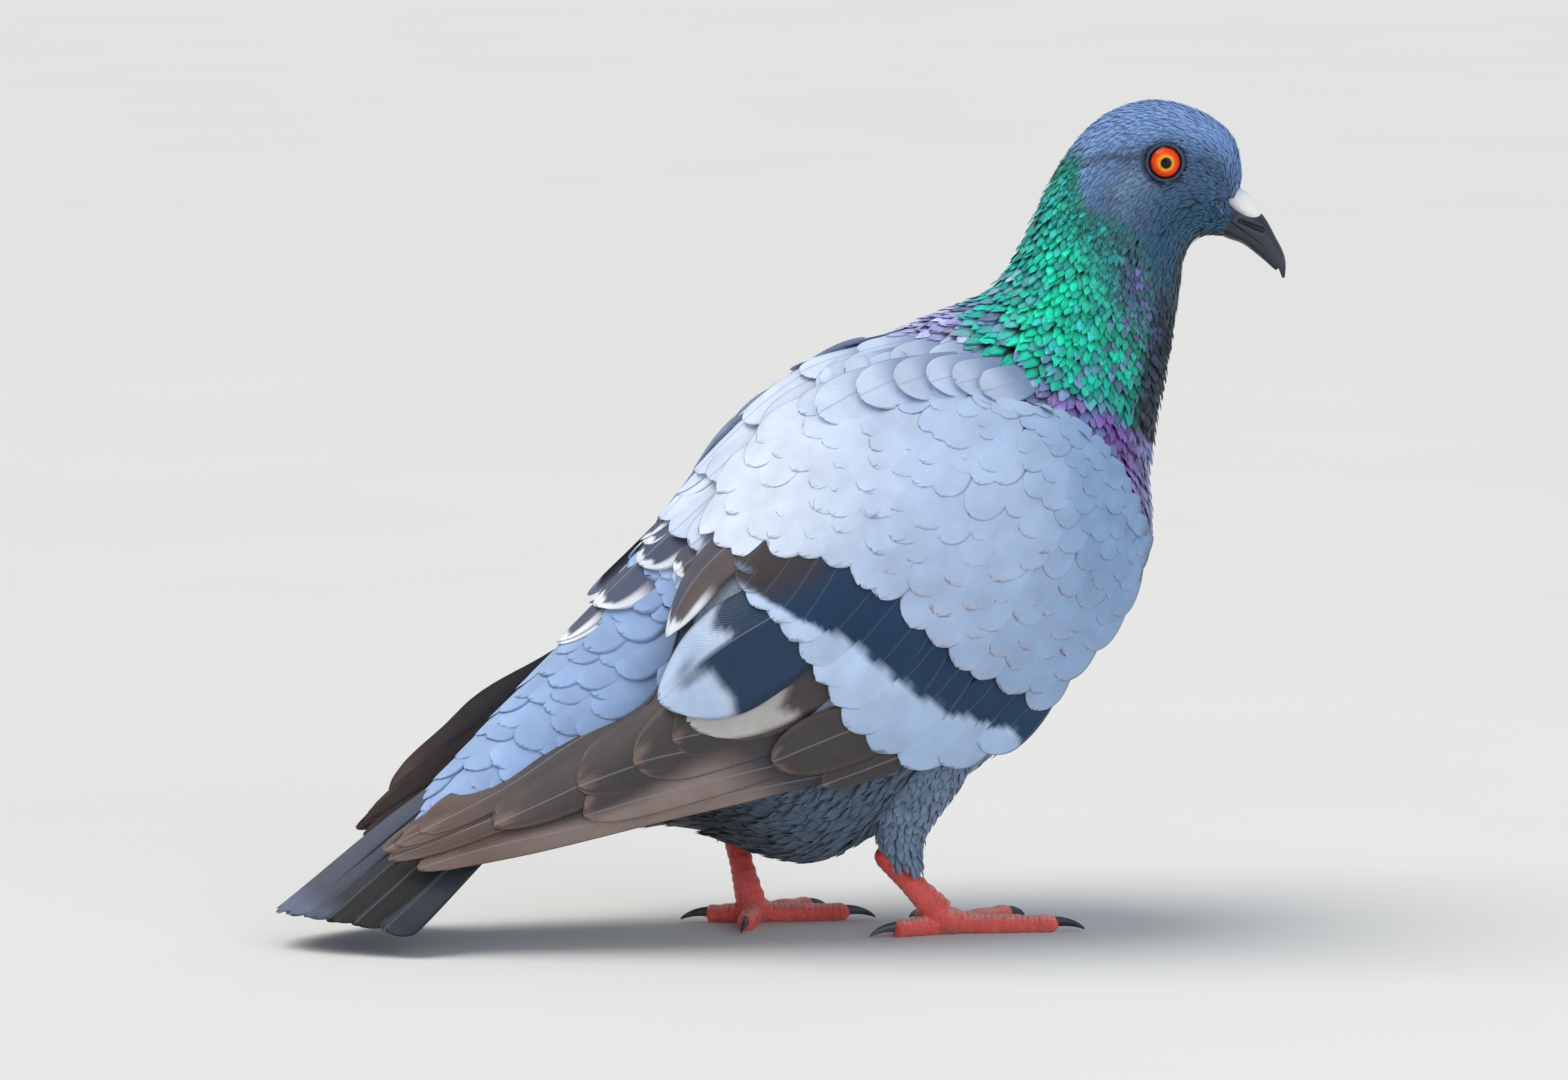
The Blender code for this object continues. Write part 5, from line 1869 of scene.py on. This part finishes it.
# Lines on a folded wing as (place across, place along): where the small coverts end, where the greater
# coverts turn white, and where they end.
SMALL_END = (
    (0, 4.85), (0.2, 4.62), (0.28, 4.05), (0.37, 3.7), (0.5, 3.52), (0.6, 3.42), (0.8, 3.36), (1, 3.05),
)
WHITE_FROM = (
    (0.3, 4.75), (0.4, 4.55), (0.5, 4.38), (0.6, 4.12), (0.75, 4.04), (0.88, 3.9), (0.95, 3.68), (1, 3.5),
)
GREATER_TIPS = (
    (4.62, 0.27), (4.74, 0.33), (4.76, 0.40), (4.68, 0.47), (4.70, 0.54), (4.72, 0.61), (4.80, 0.68),
    (4.87, 0.75), (4.98, 0.82), (4.96, 0.89), (4.84, 0.955), (4.45, 0.985), (3.95, 1),
)
COVERT = Cut(rows=13, columns=15, root=0.5, widest=0.62, thickness=0.06, droop=0.035, tilt=0.01, fray=0.035)
GREATER = Cut(rows=30, columns=15, root=0.6, widest=0.74, thickness=0.12, droop=0.05, tilt=0.03, fray=0.03)
QUILL = Cut(48, 17, 0.45, 0.72, thickness=0.16, droop=0.04, tilt=0.02, fray=0.012, rise=1, shaft=0.2)
RECTRIX = Cut(52, 15, root=0.6, widest=0.8, thickness=0.3, droop=0.03, tilt=0, fray=0.03, shaft=0.3)
BROAD = Cut(44, 17, 0.6, 0.62, thickness=0.16, droop=0.03, tilt=0.02, fray=0.02, rise=1, shaft=0.2)


class Paint(Enum):
    """How a large feather is marked."""

    BARRED = "dark root, pale tip beyond the wing's white line"
    SECONDARY = "blue-black root, grey-white tip with a dark streak"
    CREAM_EDGED = "brown with a cream lower edge"
    BROWN = "worn brown with cinnamon edges"
    TERTIAL = "dark slate with a ragged white tip"
    TERTIAL_BROWN = "warm brown with a ragged white tip"
    SCAPULAR = "pale, like the back around it"


@dataclass(frozen=True)
class Quill:
    """One large feather, given by where its tip lies: heading in degrees in the side view."""

    tip_u: float
    tip_v: float
    heading: float
    length: float
    near: float  # half width towards the lower edge
    far: float  # half width towards the upper edge
    base: float
    lift: float
    paint: Paint
    bow: float = 0


def quill_colours(vanes: Vanes, quills: Sequence[Quill], dice: Dice) -> Array:
    """The markings of large feathers, point by point.

    Args:
        vanes: The feathers.
        quills: What they are.
        dice: The random numbers.

    Returns:
        Linear colours.
    """
    wave = dice.uniform(0, 6.28, len(quills))[vanes.feather]
    ragged = 0.03 * np.sin(5 * vanes.across + wave) + 0.02 * np.sin(13 * vanes.across + 2 * wave)
    out = np.empty((len(wave), 3))
    for paint in Paint:
        own = np.array([quill.paint is paint for quill in quills])[vanes.feather]
        s, r, rag, u, v = (part[own] for part in (vanes.along, vanes.across, ragged, vanes.u, vanes.v))
        if paint is Paint.BARRED:
            bent = 0.16 * smooth(v, 0.4, 0.6) * (0.45 - (r - 0.2) ** 2)
            past = u - read_at(WHITE_FROM, v) + 0.3 * rag + bent
            tone = mixed(
                Tint.BAR_BROWN,
                (Tint.BAR, smooth(v, 0.32, 0.47)),
                (Tint.BAND_WHITE, smooth(past, -0.05, 0.06)),
                (Tint.WING, 0.35 * smooth(s, 0.93, 1)),
                # painted shade on the lower barred coverts
                (Tint.WING_SHADE, 0.45 * smooth(v, 0.6, 0.95) * smooth(past, 0, 0.1)),
            )
        elif paint is Paint.SECONDARY:
            start = np.where(r < 0, 0.6 - 0.3 * (r + 0.5) ** 2, 0.7 + 0.25 * (r - 0.45) ** 2)
            pale = mixed(Tint.BAND_WHITE, ("#e4eefb", 0.5 * smooth(s - start, 0.12, 0)))
            streak = np.exp(-(((r - 0.07) / 0.1) ** 2)) * smooth(s, 0.93, 0.84) * smooth(s, 0.4, 0.6)
            cloud = np.exp(-(((r + 0.22) / 0.2) ** 2) - ((s - 0.84) / 0.07) ** 2)
            band = (pale, smooth(s + 0.35 * rag - start, 0, 0.06))
            tone = mixed(Tint.BAR, band, (Tint.BAR, 0.85 * streak), ("#66769b", 0.8 * cloud))
        elif paint is Paint.CREAM_EDGED:
            tone = mixed(0.6 * linear(Tint.TERTIAL_BROWN), (Tint.CREAM, smooth(s + rag, 0.52, 0.6)))
        elif paint is Paint.BROWN:
            tone = mixed(
                Tint.PRIMARY_SLATE,
                (Tint.PRIMARY, smooth(s, 0.2, 0.6)),
                ("#9a8780", 0.85 * smooth(v, 0.62, 0.76) * smooth(u, 6.2, 7)),
                ("#6e5246", 0.55 * smooth(u, 8.4, 9.6)),
                (Tint.WORN_EDGE, 0.75 * smooth(s + rag, 0.93, 1) + 0.45 * smooth(np.abs(r), 0.75, 1) * s),
            )
        elif paint is Paint.SCAPULAR:
            # painted shade at each feather's root, and painted sunlight whitening it towards its tip
            back = trunk_marking(u, 0 * r) * (0.93 + 0.07 * smooth(s, 0.3, 0.9))[:, None]
            tone = mixed(back, ("#d2e1f8", 0.7 * smooth(s, 0.2, 0.8)))
        else:
            plain = linear(Tint.TERTIAL if paint is Paint.TERTIAL else Tint.TERTIAL_BROWN)
            rim = np.maximum(smooth(s + 0.8 * rag, 0.89, 0.93), smooth(r, 0.62, 0.78) * smooth(s, 0.55, 0.75))
            upper = plain * (1 + 0.12 * np.sin(9 * r + 4 * s))[:, None]
            tone = mixed(upper, (Tint.TERTIAL, 0.6 * (r < 0)), ("#f0f5ff", rim))
        out[own] = tone * (1 + dice.uniform(-0.08, 0.08, len(quills))[vanes.feather[own]])[:, None]
    return out


def quills_laid(form: Form, quills: Sequence[Quill], cut: Cut, dice: Dice) -> tuple[Vanes, Roots, Array]:
    """Large feathers laid back from their tips.

    Args:
        form: What they lie on.
        quills: The feathers.
        cut: Their kind.
        dice: The random numbers.

    Returns:
        The feathers, where they grow, and their points' colours.
    """
    names = ("tip_u", "tip_v", "length", "heading", "near", "far", "base", "lift", "bow")
    columns = np.array([[getattr(quill, name) for quill in quills] for name in names], float)
    tip_u, tip_v, lengths, angle = columns[:4]
    trail = [(tip_u, tip_v)]
    for _ in range(TRAIL_STEPS):
        trail.append(form.walked(*trail[-1], side_view(angle), -lengths / TRAIL_STEPS, 1))
    trail_u, trail_v = (np.stack(part, axis=1) for part in zip(*trail[::-1]))
    roots = Roots(trail_u[:, 0], trail_v[:, 0], tip_u, tip_v, *columns[4:], (trail_u, trail_v))
    vanes = laid(form, cut, roots, dice)
    return vanes, roots, quill_colours(vanes, quills, dice)


TRAIL_STEPS = 24  # in how many steps a large feather's line is followed

# From the innermost outwards. The innermost of each kind lies on top.
SECONDARIES = (
    Quill(6.1, 0.05, 212, 46, 8.6, 6.5, -0.9, -0.1, Paint.TERTIAL_BROWN),
    Quill(6.66, 0.27, 211, 60, 16.5, 11, -1, -0.35, Paint.SECONDARY),
    Quill(6.52, 0.48, 208, 58, 13, 8, -2.3, -1.5, Paint.CREAM_EDGED),
    Quill(6.3, 0.6, 208, 54, 9, 8, -2.7, -1.9, Paint.BROWN),
)
# Tip's place, heading, length, and half widths below and above the shaft.
PRIMARY_TIPS = (
    (6.85, 0.5, 192, 40, 7.5, 13),
    (7.45, 0.46, 192, 54, 7.5, 15),
    (8.15, 0.36, 194, 66, 7, 17),
    (8.3, 0.66, 194, 66, 5, 12),
    (9.2, 0.44, 199, 86, 6, 15),
    (10.15, 0.14, 207, 104, 6, 12),
    (10.65, 0.24, 204, 110, 5, 7),
    (10.95, 0.38, 201, 114, 4.6, 6.5),
    (10.9, 0.62, 195, 114, 4.4, 6),
    (10.5, 0.82, 190.5, 110, 4.4, 7),
)
PRIMARY_STEP = 0.22  # how far each primary lies under the one before
PRIMARY_COVERTS = (
    Quill(6.15, 0.8, 205, 44, 9.6, 7.6, -0.9, -0.75, Paint.BROWN),
    Quill(6, 0.94, 203, 32, 3.8, 6, -1.3, -1.05, Paint.BROWN),
)
# Tertials, and scapulars over them, laid on the body along the folded wing's upper edge: the tip's
# station and radians, heading, length, both half widths, base and lift.
UPPER_EDGE = {
    Paint.TERTIAL: (
        (15.8, 0.03, 220, 36, 8.5, 8.5, -1.6, 0.8),
        (15.1, -0.17, 219, 36, 9.5, 8.5, -1.2, 1.1),
        (14.2, -0.27, 217, 28, 8, 7.2, -0.6, 1.5),
        (13.95, 0.08, 213, 28, 7, 7, -0.6, 1.4),
    ),
    Paint.TERTIAL_BROWN: ((13.85, -0.62, 214, 22, 5.5, 5, 0, 2),),
    Paint.SCAPULAR: (
        (13.2, 0.05, 216, 24, 6, 6, 0.4, 1.9),
        (13.58, -0.1, 217, 26, 6, 6, 0.3, 2.1),
        (13.6, -0.36, 218, 26, 6.5, 6, 0.3, 2.4),
        (13.5, -0.58, 216, 26, 6.5, 6.5, 0.5, 3),
        (13.25, -0.84, 214, 26, 7, 6.5, 1.2, 4),
        (12.85, -0.08, 217, 24, 6.5, 6, 0.8, 2.5),
        (12.8, -0.3, 217, 24, 6.5, 6, 0.8, 2.9),
        (12.7, -0.55, 216, 24, 6.5, 6.5, 1.2, 3.6),
        (12, -0.15, 215, 24, 6.5, 6, 0.8, 2.7),
        (11.9, -0.42, 215, 24, 6.5, 6.5, 1, 3.4),
        (11.1, -0.2, 213, 24, 6.5, 6, -0.8, 2.6),
        (11, -0.45, 212, 24, 6.5, 6.5, -0.6, 3.2),
        (10.3, -0.3, 208, 20, 6.5, 6, -1.7, 2.4),
        (11.3, -0.66, 213, 22, 7.5, 7, 3.2, 8),
        (10.8, -0.72, 212, 21, 7, 7, 2.4, 7.8),
        (10.35, -0.78, 211, 20, 7, 7, 1.2, 7.8),
        (9.98, -0.86, 210, 19, 6.5, 7, -0.4, 7.7),
        (9.72, -0.95, 210, 18, 6, 6.5, -1.5, 7.3),
        (9.5, -1.08, 211, 17, 5.5, 6, -1.8, 7.1),
        (10.7, -0.5, 210, 21, 6.5, 6.5, -0.4, 4.2),
        (10.1, -0.58, 208, 20, 6.5, 6.5, -1.6, 3.8),
        (9.7, -0.72, 207, 18, 6, 6, -1.9, 3.4),
    ),
}


@dataclass
class WingFeathers:
    """All feathers of one folded wing."""

    side: str
    rows: int = 10

    @property
    def form(self) -> Wing:
        """The wing's surface."""
        return WINGS[self.side]

    def patches(self, vanes: Vanes, roots: Roots) -> Array:
        """Each small feather's patch at its root's place along and across the wing."""
        return tuft_patches(vanes, roots.u / 7, np.clip(roots.v, 0, 1))

    def greater(self) -> list[Quill]:
        """The barred greater coverts, whose headings fall towards the lower front corner."""
        return [
            Quill(u, v, 237 - 11 * min(1, u / 4.7) * (v > 0.6), 33 - 6 * (v > 0.97),
                  7, 7.2, -0.9, -0.12, Paint.BARRED, 1)
            for u, v in GREATER_TIPS
        ]

    def row(self, number: int, s: float, dice: Dice) -> Roots:
        """One row of soft coverts, at a share s of the way to where the small coverts end."""
        width = 5.5 + 6 * float(smooth(s * read_at(SMALL_END, 0.5), 0.3, 3.2))
        line = np.linspace(-0.02, 1, 80)
        arc = travelled(self.form.points(s * read_at(SMALL_END, line), line))
        count = max(4, round(arc[-1] / (0.72 * width)))
        at = (np.arange(count) + 0.3 + 0.4 * (number % 2) + dice.uniform(-0.22, 0.22, count)) / count
        v = np.interp(at * arc[-1], arc, line)
        u = s * read_at(SMALL_END, v) + dice.uniform(-0.11, 0.11, count) * (0.3 + 0.7 * (s < 0.99))
        angle = 212 + 25 * smooth(v, 0, 0.45) + dice.uniform(-9, 9, count)
        sizes = 1 + dice.uniform(-0.2, 0.2, count)
        root_u, root_v = self.form.walked(u, v, side_view(angle), -1.9 * width * sizes)
        half = 0.58 * width * sizes
        lift = dice.uniform(-0.18, -0.04, count) - 0.8 * smooth(v, 0.1, 0) * (s < 0.6)
        base = np.full(count, -0.38) + 0.3 * (number == 0)
        return Roots(np.maximum(root_u, -0.1), np.clip(root_v, -0.05, 1.03), u, v, half, half, base, lift)

    def coverts(self, dice: Dice) -> None:
        """Rows of soft coverts that grow in size towards the back, and the barred greater coverts."""
        shaft = {"shaft": "#dfe9f8", "shaft_width": 0.16, "shaft_share": 0.07}
        coat = Coat(f"coverts_{self.side}", Feathering("covert_plumage", 0.5, 0.15, 0.66, **shaft))
        vanes, roots, colour = quills_laid(self.form, self.greater(), GREATER, dice)
        coat.put(vanes, colour, self.patches(vanes, roots))
        share = (np.arange(self.rows) + 1) / self.rows
        for number, s in enumerate(share**0.92):
            roots = self.row(number, s, dice)
            vanes = laid(self.form, COVERT, roots, dice)
            tint = feather_tints(vanes, wing_marking(roots.tip_u, roots.tip_v), dice, 0.03)
            rim = np.maximum(smooth(vanes.along, 0.9, 0.985), smooth(np.abs(vanes.across), 0.88, 1))
            # painted shade: darker towards each feather's root, under the one that overlaps it; the paler rim
            # is the feather's own edge
            tint = tint * (0.93 + 0.07 * smooth(vanes.along, 0.3, 0.75) + 0.04 * rim)[:, None]
            lower = (smooth(roots.tip_v, 0.35, 0.7) * smooth(roots.tip_u, 0.8, 2))[vanes.feather]
            coat.put(vanes, mixed(tint, ("#c3a8ae", 0.3 * rim * lower)), self.patches(vanes, roots))
        coat.built("pale_plumage")

    def primaries(self) -> list[Quill]:
        """The primaries, each a step under the one before and all rising towards their tips."""
        return [
            Quill(u, *rest, -3.2 - PRIMARY_STEP * k, -2.9 + 0.75 * (u - 5) - PRIMARY_STEP * k, Paint.BROWN)
            for k, (u, *rest) in enumerate(PRIMARY_TIPS)
        ]

    def flight(self, dice: Dice) -> None:
        """Primaries, their coverts and the secondaries."""
        shaft = {"shaft": "#9b98a2", "shaft_width": 0.3, "shaft_share": 0.4}
        coat = Coat(f"flight_{self.side}", Feathering("flight_plumage", 0.7, 0.35, 0.5, 0.05, 0.45, **shaft))
        primaries, others = self.primaries(), [*SECONDARIES, *PRIMARY_COVERTS]
        for quills, cut, first in ((primaries, QUILL, 0), (others, BROAD, len(primaries))):
            vanes, _, colour = quills_laid(self.form, quills, cut, dice)
            coat.put(vanes, colour, strip_patches(vanes, len(primaries) + len(others), first))
        coat.built("brown_plumage", f"primaries_{self.side}")


class Rim(Form):
    """The front and under side of a folded wing.

    u runs outwards from the body to the wing's edge. v runs down the front edge, and from 1 back
    along the lower edge.
    """

    last = 1

    def __init__(self, side: str) -> None:
        """Takes one wing's edge."""
        self.wing = WINGS[side]
        self.hand = self.wing.hand
        self.outward = -self.hand

    def points(self, u: Array, v: Array) -> Array:
        """From the trunk's side to the edge in a low arch that bulges forwards."""
        u, v = floats(u, v)
        back = 3.6 * np.maximum(v - 1, 0)
        edge, inner = (self.wing.points(rib + back, np.minimum(v, 0.99)) for rib in (0.12, 0.4))
        wide = np.abs(inner[..., 1])
        flank = np.maximum(BODY.half_width(inner[..., 0], inner[..., 2]) - 2, wide - 15)
        inner[..., 1] = -self.hand * np.minimum(wide - 1, flank)
        out = inner + (edge - inner) * u[..., None]
        out[..., 0] += 1.6 * np.sin(math.pi * np.clip(u, 0, 1)) - 0.4
        return out


def rim_feathers(dice: Dice) -> None:
    """Small feathers round the front edges of both wings."""
    coat = Coat("wing_rim_feathers", Feathering("rim_plumage"))
    for number, side in enumerate(WINGS):
        form = Rim(side)
        u, v = staggered(form, 0, 0.42, (2.3, 3.2), (0.22, 2), dice)
        vanes, roots = Growth(SOFT, 6.5, 5, -0.7, -0.3, 0.12, 12).grown(form, u, v, dice)
        shade = (0.55 + 0.4 * u) * (1 - 0.3 * smooth(v, 0.8, 1.3))
        tint = feather_tints(vanes, wing_marking(0 * u, v) * shade[:, None], dice, 0.08)
        at = 0.5 * np.clip(roots.u, 0, 1) + 0.5 * number
        coat.put(vanes, tint, tuft_patches(vanes, at, 0.5 * roots.v))
    coat.built("pale_plumage")


def tertial_feathers(dice: Dice) -> None:
    """The innermost feathers of both wings, which lie over the rump; the left ones lie lower."""
    finish = Feathering(
        "tertial_plumage", 0.6, 0.3, 0.55, 0.08, 0.4, shaft="#8f9cc0", shaft_width=0.4, shaft_share=0.4
    )
    coat = Coat("tertial_feathers", finish)
    for number, side in enumerate((1, -1)):
        quills = [
            Quill(u, v * side, *rest, base - 0.25 * number, lift - 0.25 * number, paint)
            for paint, rows in UPPER_EDGE.items()
            for u, v, *rest, base, lift in rows
        ]
        vanes, _, colour = quills_laid(BODY, quills, BROAD, dice)
        coat.put(vanes, colour, strip_patches(vanes, 2 * len(quills), number * len(quills)))
    coat.built("dark_plumage")


@dataclass
class TailFeathers:
    """Twelve rectrices folded over each other, the middle pair on top."""

    pairs: int = 6
    spread: float = 0.93  # how far apart the outermost tips are, as a share of the tail's width

    def build(self, dice: Dice) -> None:
        """Makes the tail."""
        finish = Feathering(
            "tail_plumage", 0.7, 0.35, 0.5, 0.06, 0.4, shaft="#565c6c", shaft_width=0.4, shaft_share=0.5
        )
        coat = Coat("tail_feathers", finish)
        number = np.arange(2 * self.pairs)
        rank = number // 2 + 0.35 * (number % 2)
        sign = np.where(number % 2 == 0, -1, 1)
        place = sign * (number // 2 + 0.5) / self.pairs * self.spread
        tip_u = 2.97 - 0.05 * dice.random(len(number)) - 0.04 * rank
        half, root_u = 7.2 - 0.15 * rank, np.full(len(number), -0.1)
        heights = (-0.7 - 0.42 * rank, -0.15 - 0.2 * rank)
        roots = Roots(root_u, 0.85 * place, tip_u, 1.04 * place, half, half, *heights)
        vanes = laid(TAIL, RECTRIX, roots, dice)
        base = mixed(
            Tint.TAIL_TOP,
            (Tint.TAIL_GREY, smooth(rank, 0.5, 2.5)),
            # painted shadow: near black on the right side's middle feathers, where the tail's shadowed
            # underside shows
            ("#0c0f12", smooth(rank, 1.5, 2.5) * smooth(rank, 5, 4.4) * (sign < 0)),
        )
        tip = 0.55 * smooth(vanes.along, 0.72, 0.95) * smooth(rank[vanes.feather], 3, 1.5)
        coat.put(vanes, mixed(base[vanes.feather], ("#717d9c", tip)), strip_patches(vanes, len(number)))
        coat.built("dark_plumage", "tail")


# ---- Studio ----


@dataclass
class Studio:
    """Pale floor, soft light from above and behind, and a long lens at the bird's right side."""

    azimuth: float = math.radians(-12)
    elevation: float = math.radians(7)
    target: Triple = (0.8, 0, 100.4)
    distance: float = 2780
    focal: float = 250.3
    floor_half: float = 12  # metres

    def axes(self) -> tuple[Array, Array, Array]:
        """The camera's right, up and backward directions."""
        a, e = -self.azimuth, self.elevation
        right = np.array((math.cos(a), -math.sin(a), 0))
        up = np.array((math.sin(a) * math.sin(e), math.cos(a) * math.sin(e), math.cos(e)))
        return right, up, np.cross(right, up)

    def camera(self) -> None:
        """Sets the camera at the bird's eye side, a little above it."""
        right, up, back = self.axes()
        lens = bpy.data.cameras.new("long_lens")
        lens.lens = self.focal
        lens.sensor_width = 36
        lens.clip_start, lens.clip_end = 0.1, 50
        thing = placed("camera", lens)
        place = (np.array(self.target) + back * self.distance - BOX_MIDDLE) * MM
        matrix = np.eye(4)
        matrix[:3, 0], matrix[:3, 1], matrix[:3, 2], matrix[:3, 3] = right, up, back, place
        thing.matrix_world = matrix.T.tolist()
        bpy.context.scene.camera = thing

    def floor(self) -> None:
        """A wide level floor."""
        mesh = bpy.data.meshes.new("floor")
        size = self.floor_half
        corners = [(-size, -size, 0), (size, -size, 0), (size, size, 0), (-size, size, 0)]
        mesh.from_pydata(corners, [], [(0, 1, 2, 3)])
        mesh.materials.append(PlainFloor().made())
        placed("studio_floor", mesh)

    def light(
        self, name: str, kind: str, towards: Triple, power: float, colour: str, place: Triple = (0, 0, 0)
    ) -> bpy.types.Light:
        """A light that shines from a direction.

        Args:
            name: Its name.
            kind: "SUN" or "AREA".
            towards: Where it stands as seen from what it lights.
            power: Its strength.
            colour: sRGB.
            place: Where it stands, in metres.

        Returns:
            The light, for its size.
        """
        light = bpy.data.lights.new(name, kind)
        light.energy = power
        light.color = linear(colour).tolist()
        thing = placed(name, light)
        thing.location = place
        thing.rotation_euler = Vector(towards).to_track_quat("Z", "Y").to_euler()
        return light

    def build(self) -> None:
        """Sets floor, lights, sky and camera."""
        self.floor()
        self.light("key", "SUN", (-0.45, 0.12, 1), 2.1, "#fffaf3").angle = math.radians(50)
        self.light("fill", "AREA", (0.7, -1.5, 0.6), 7, "#eef3ff", (0.7, -1.5, 0.7)).size = 1.4
        world = bpy.data.worlds.new("sky")
        world.use_nodes = True
        glow = world.node_tree.nodes["Background"]
        feed(world.node_tree, glow, {"Color": (*linear("#e9eef6"), 1), "Strength": 0.55})
        bpy.context.scene.world = world
        bpy.context.scene.view_settings.view_transform = "Standard"
        self.camera()


def main() -> None:
    """Builds the bird from the inside out, then the studio."""
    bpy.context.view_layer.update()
    log.info("%d solids to dress", len(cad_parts))
    dice = np.random.default_rng(SEED)
    Skin().build()
    EYES.build()
    BILL.build()
    red, horn = ScalyLeg().made(), Keratin("dark_claw_horn", "#23262d", "#565b66").made()
    for leg in LEGS:
        leg.build(red, horn)
    for coat in body_coats():
        coat.build(dice)
    thigh_feathers(dice)
    for side in WINGS:
        wing = WingFeathers(side)
        wing.flight(dice)
        wing.coverts(dice)
    TailFeathers().build(dice)
    tertial_feathers(dice)
    rim_feathers(dice)
    Studio().build()


if __name__ == "__main__":
    logging.basicConfig(level=logging.INFO, format="%(message)s")
    main()
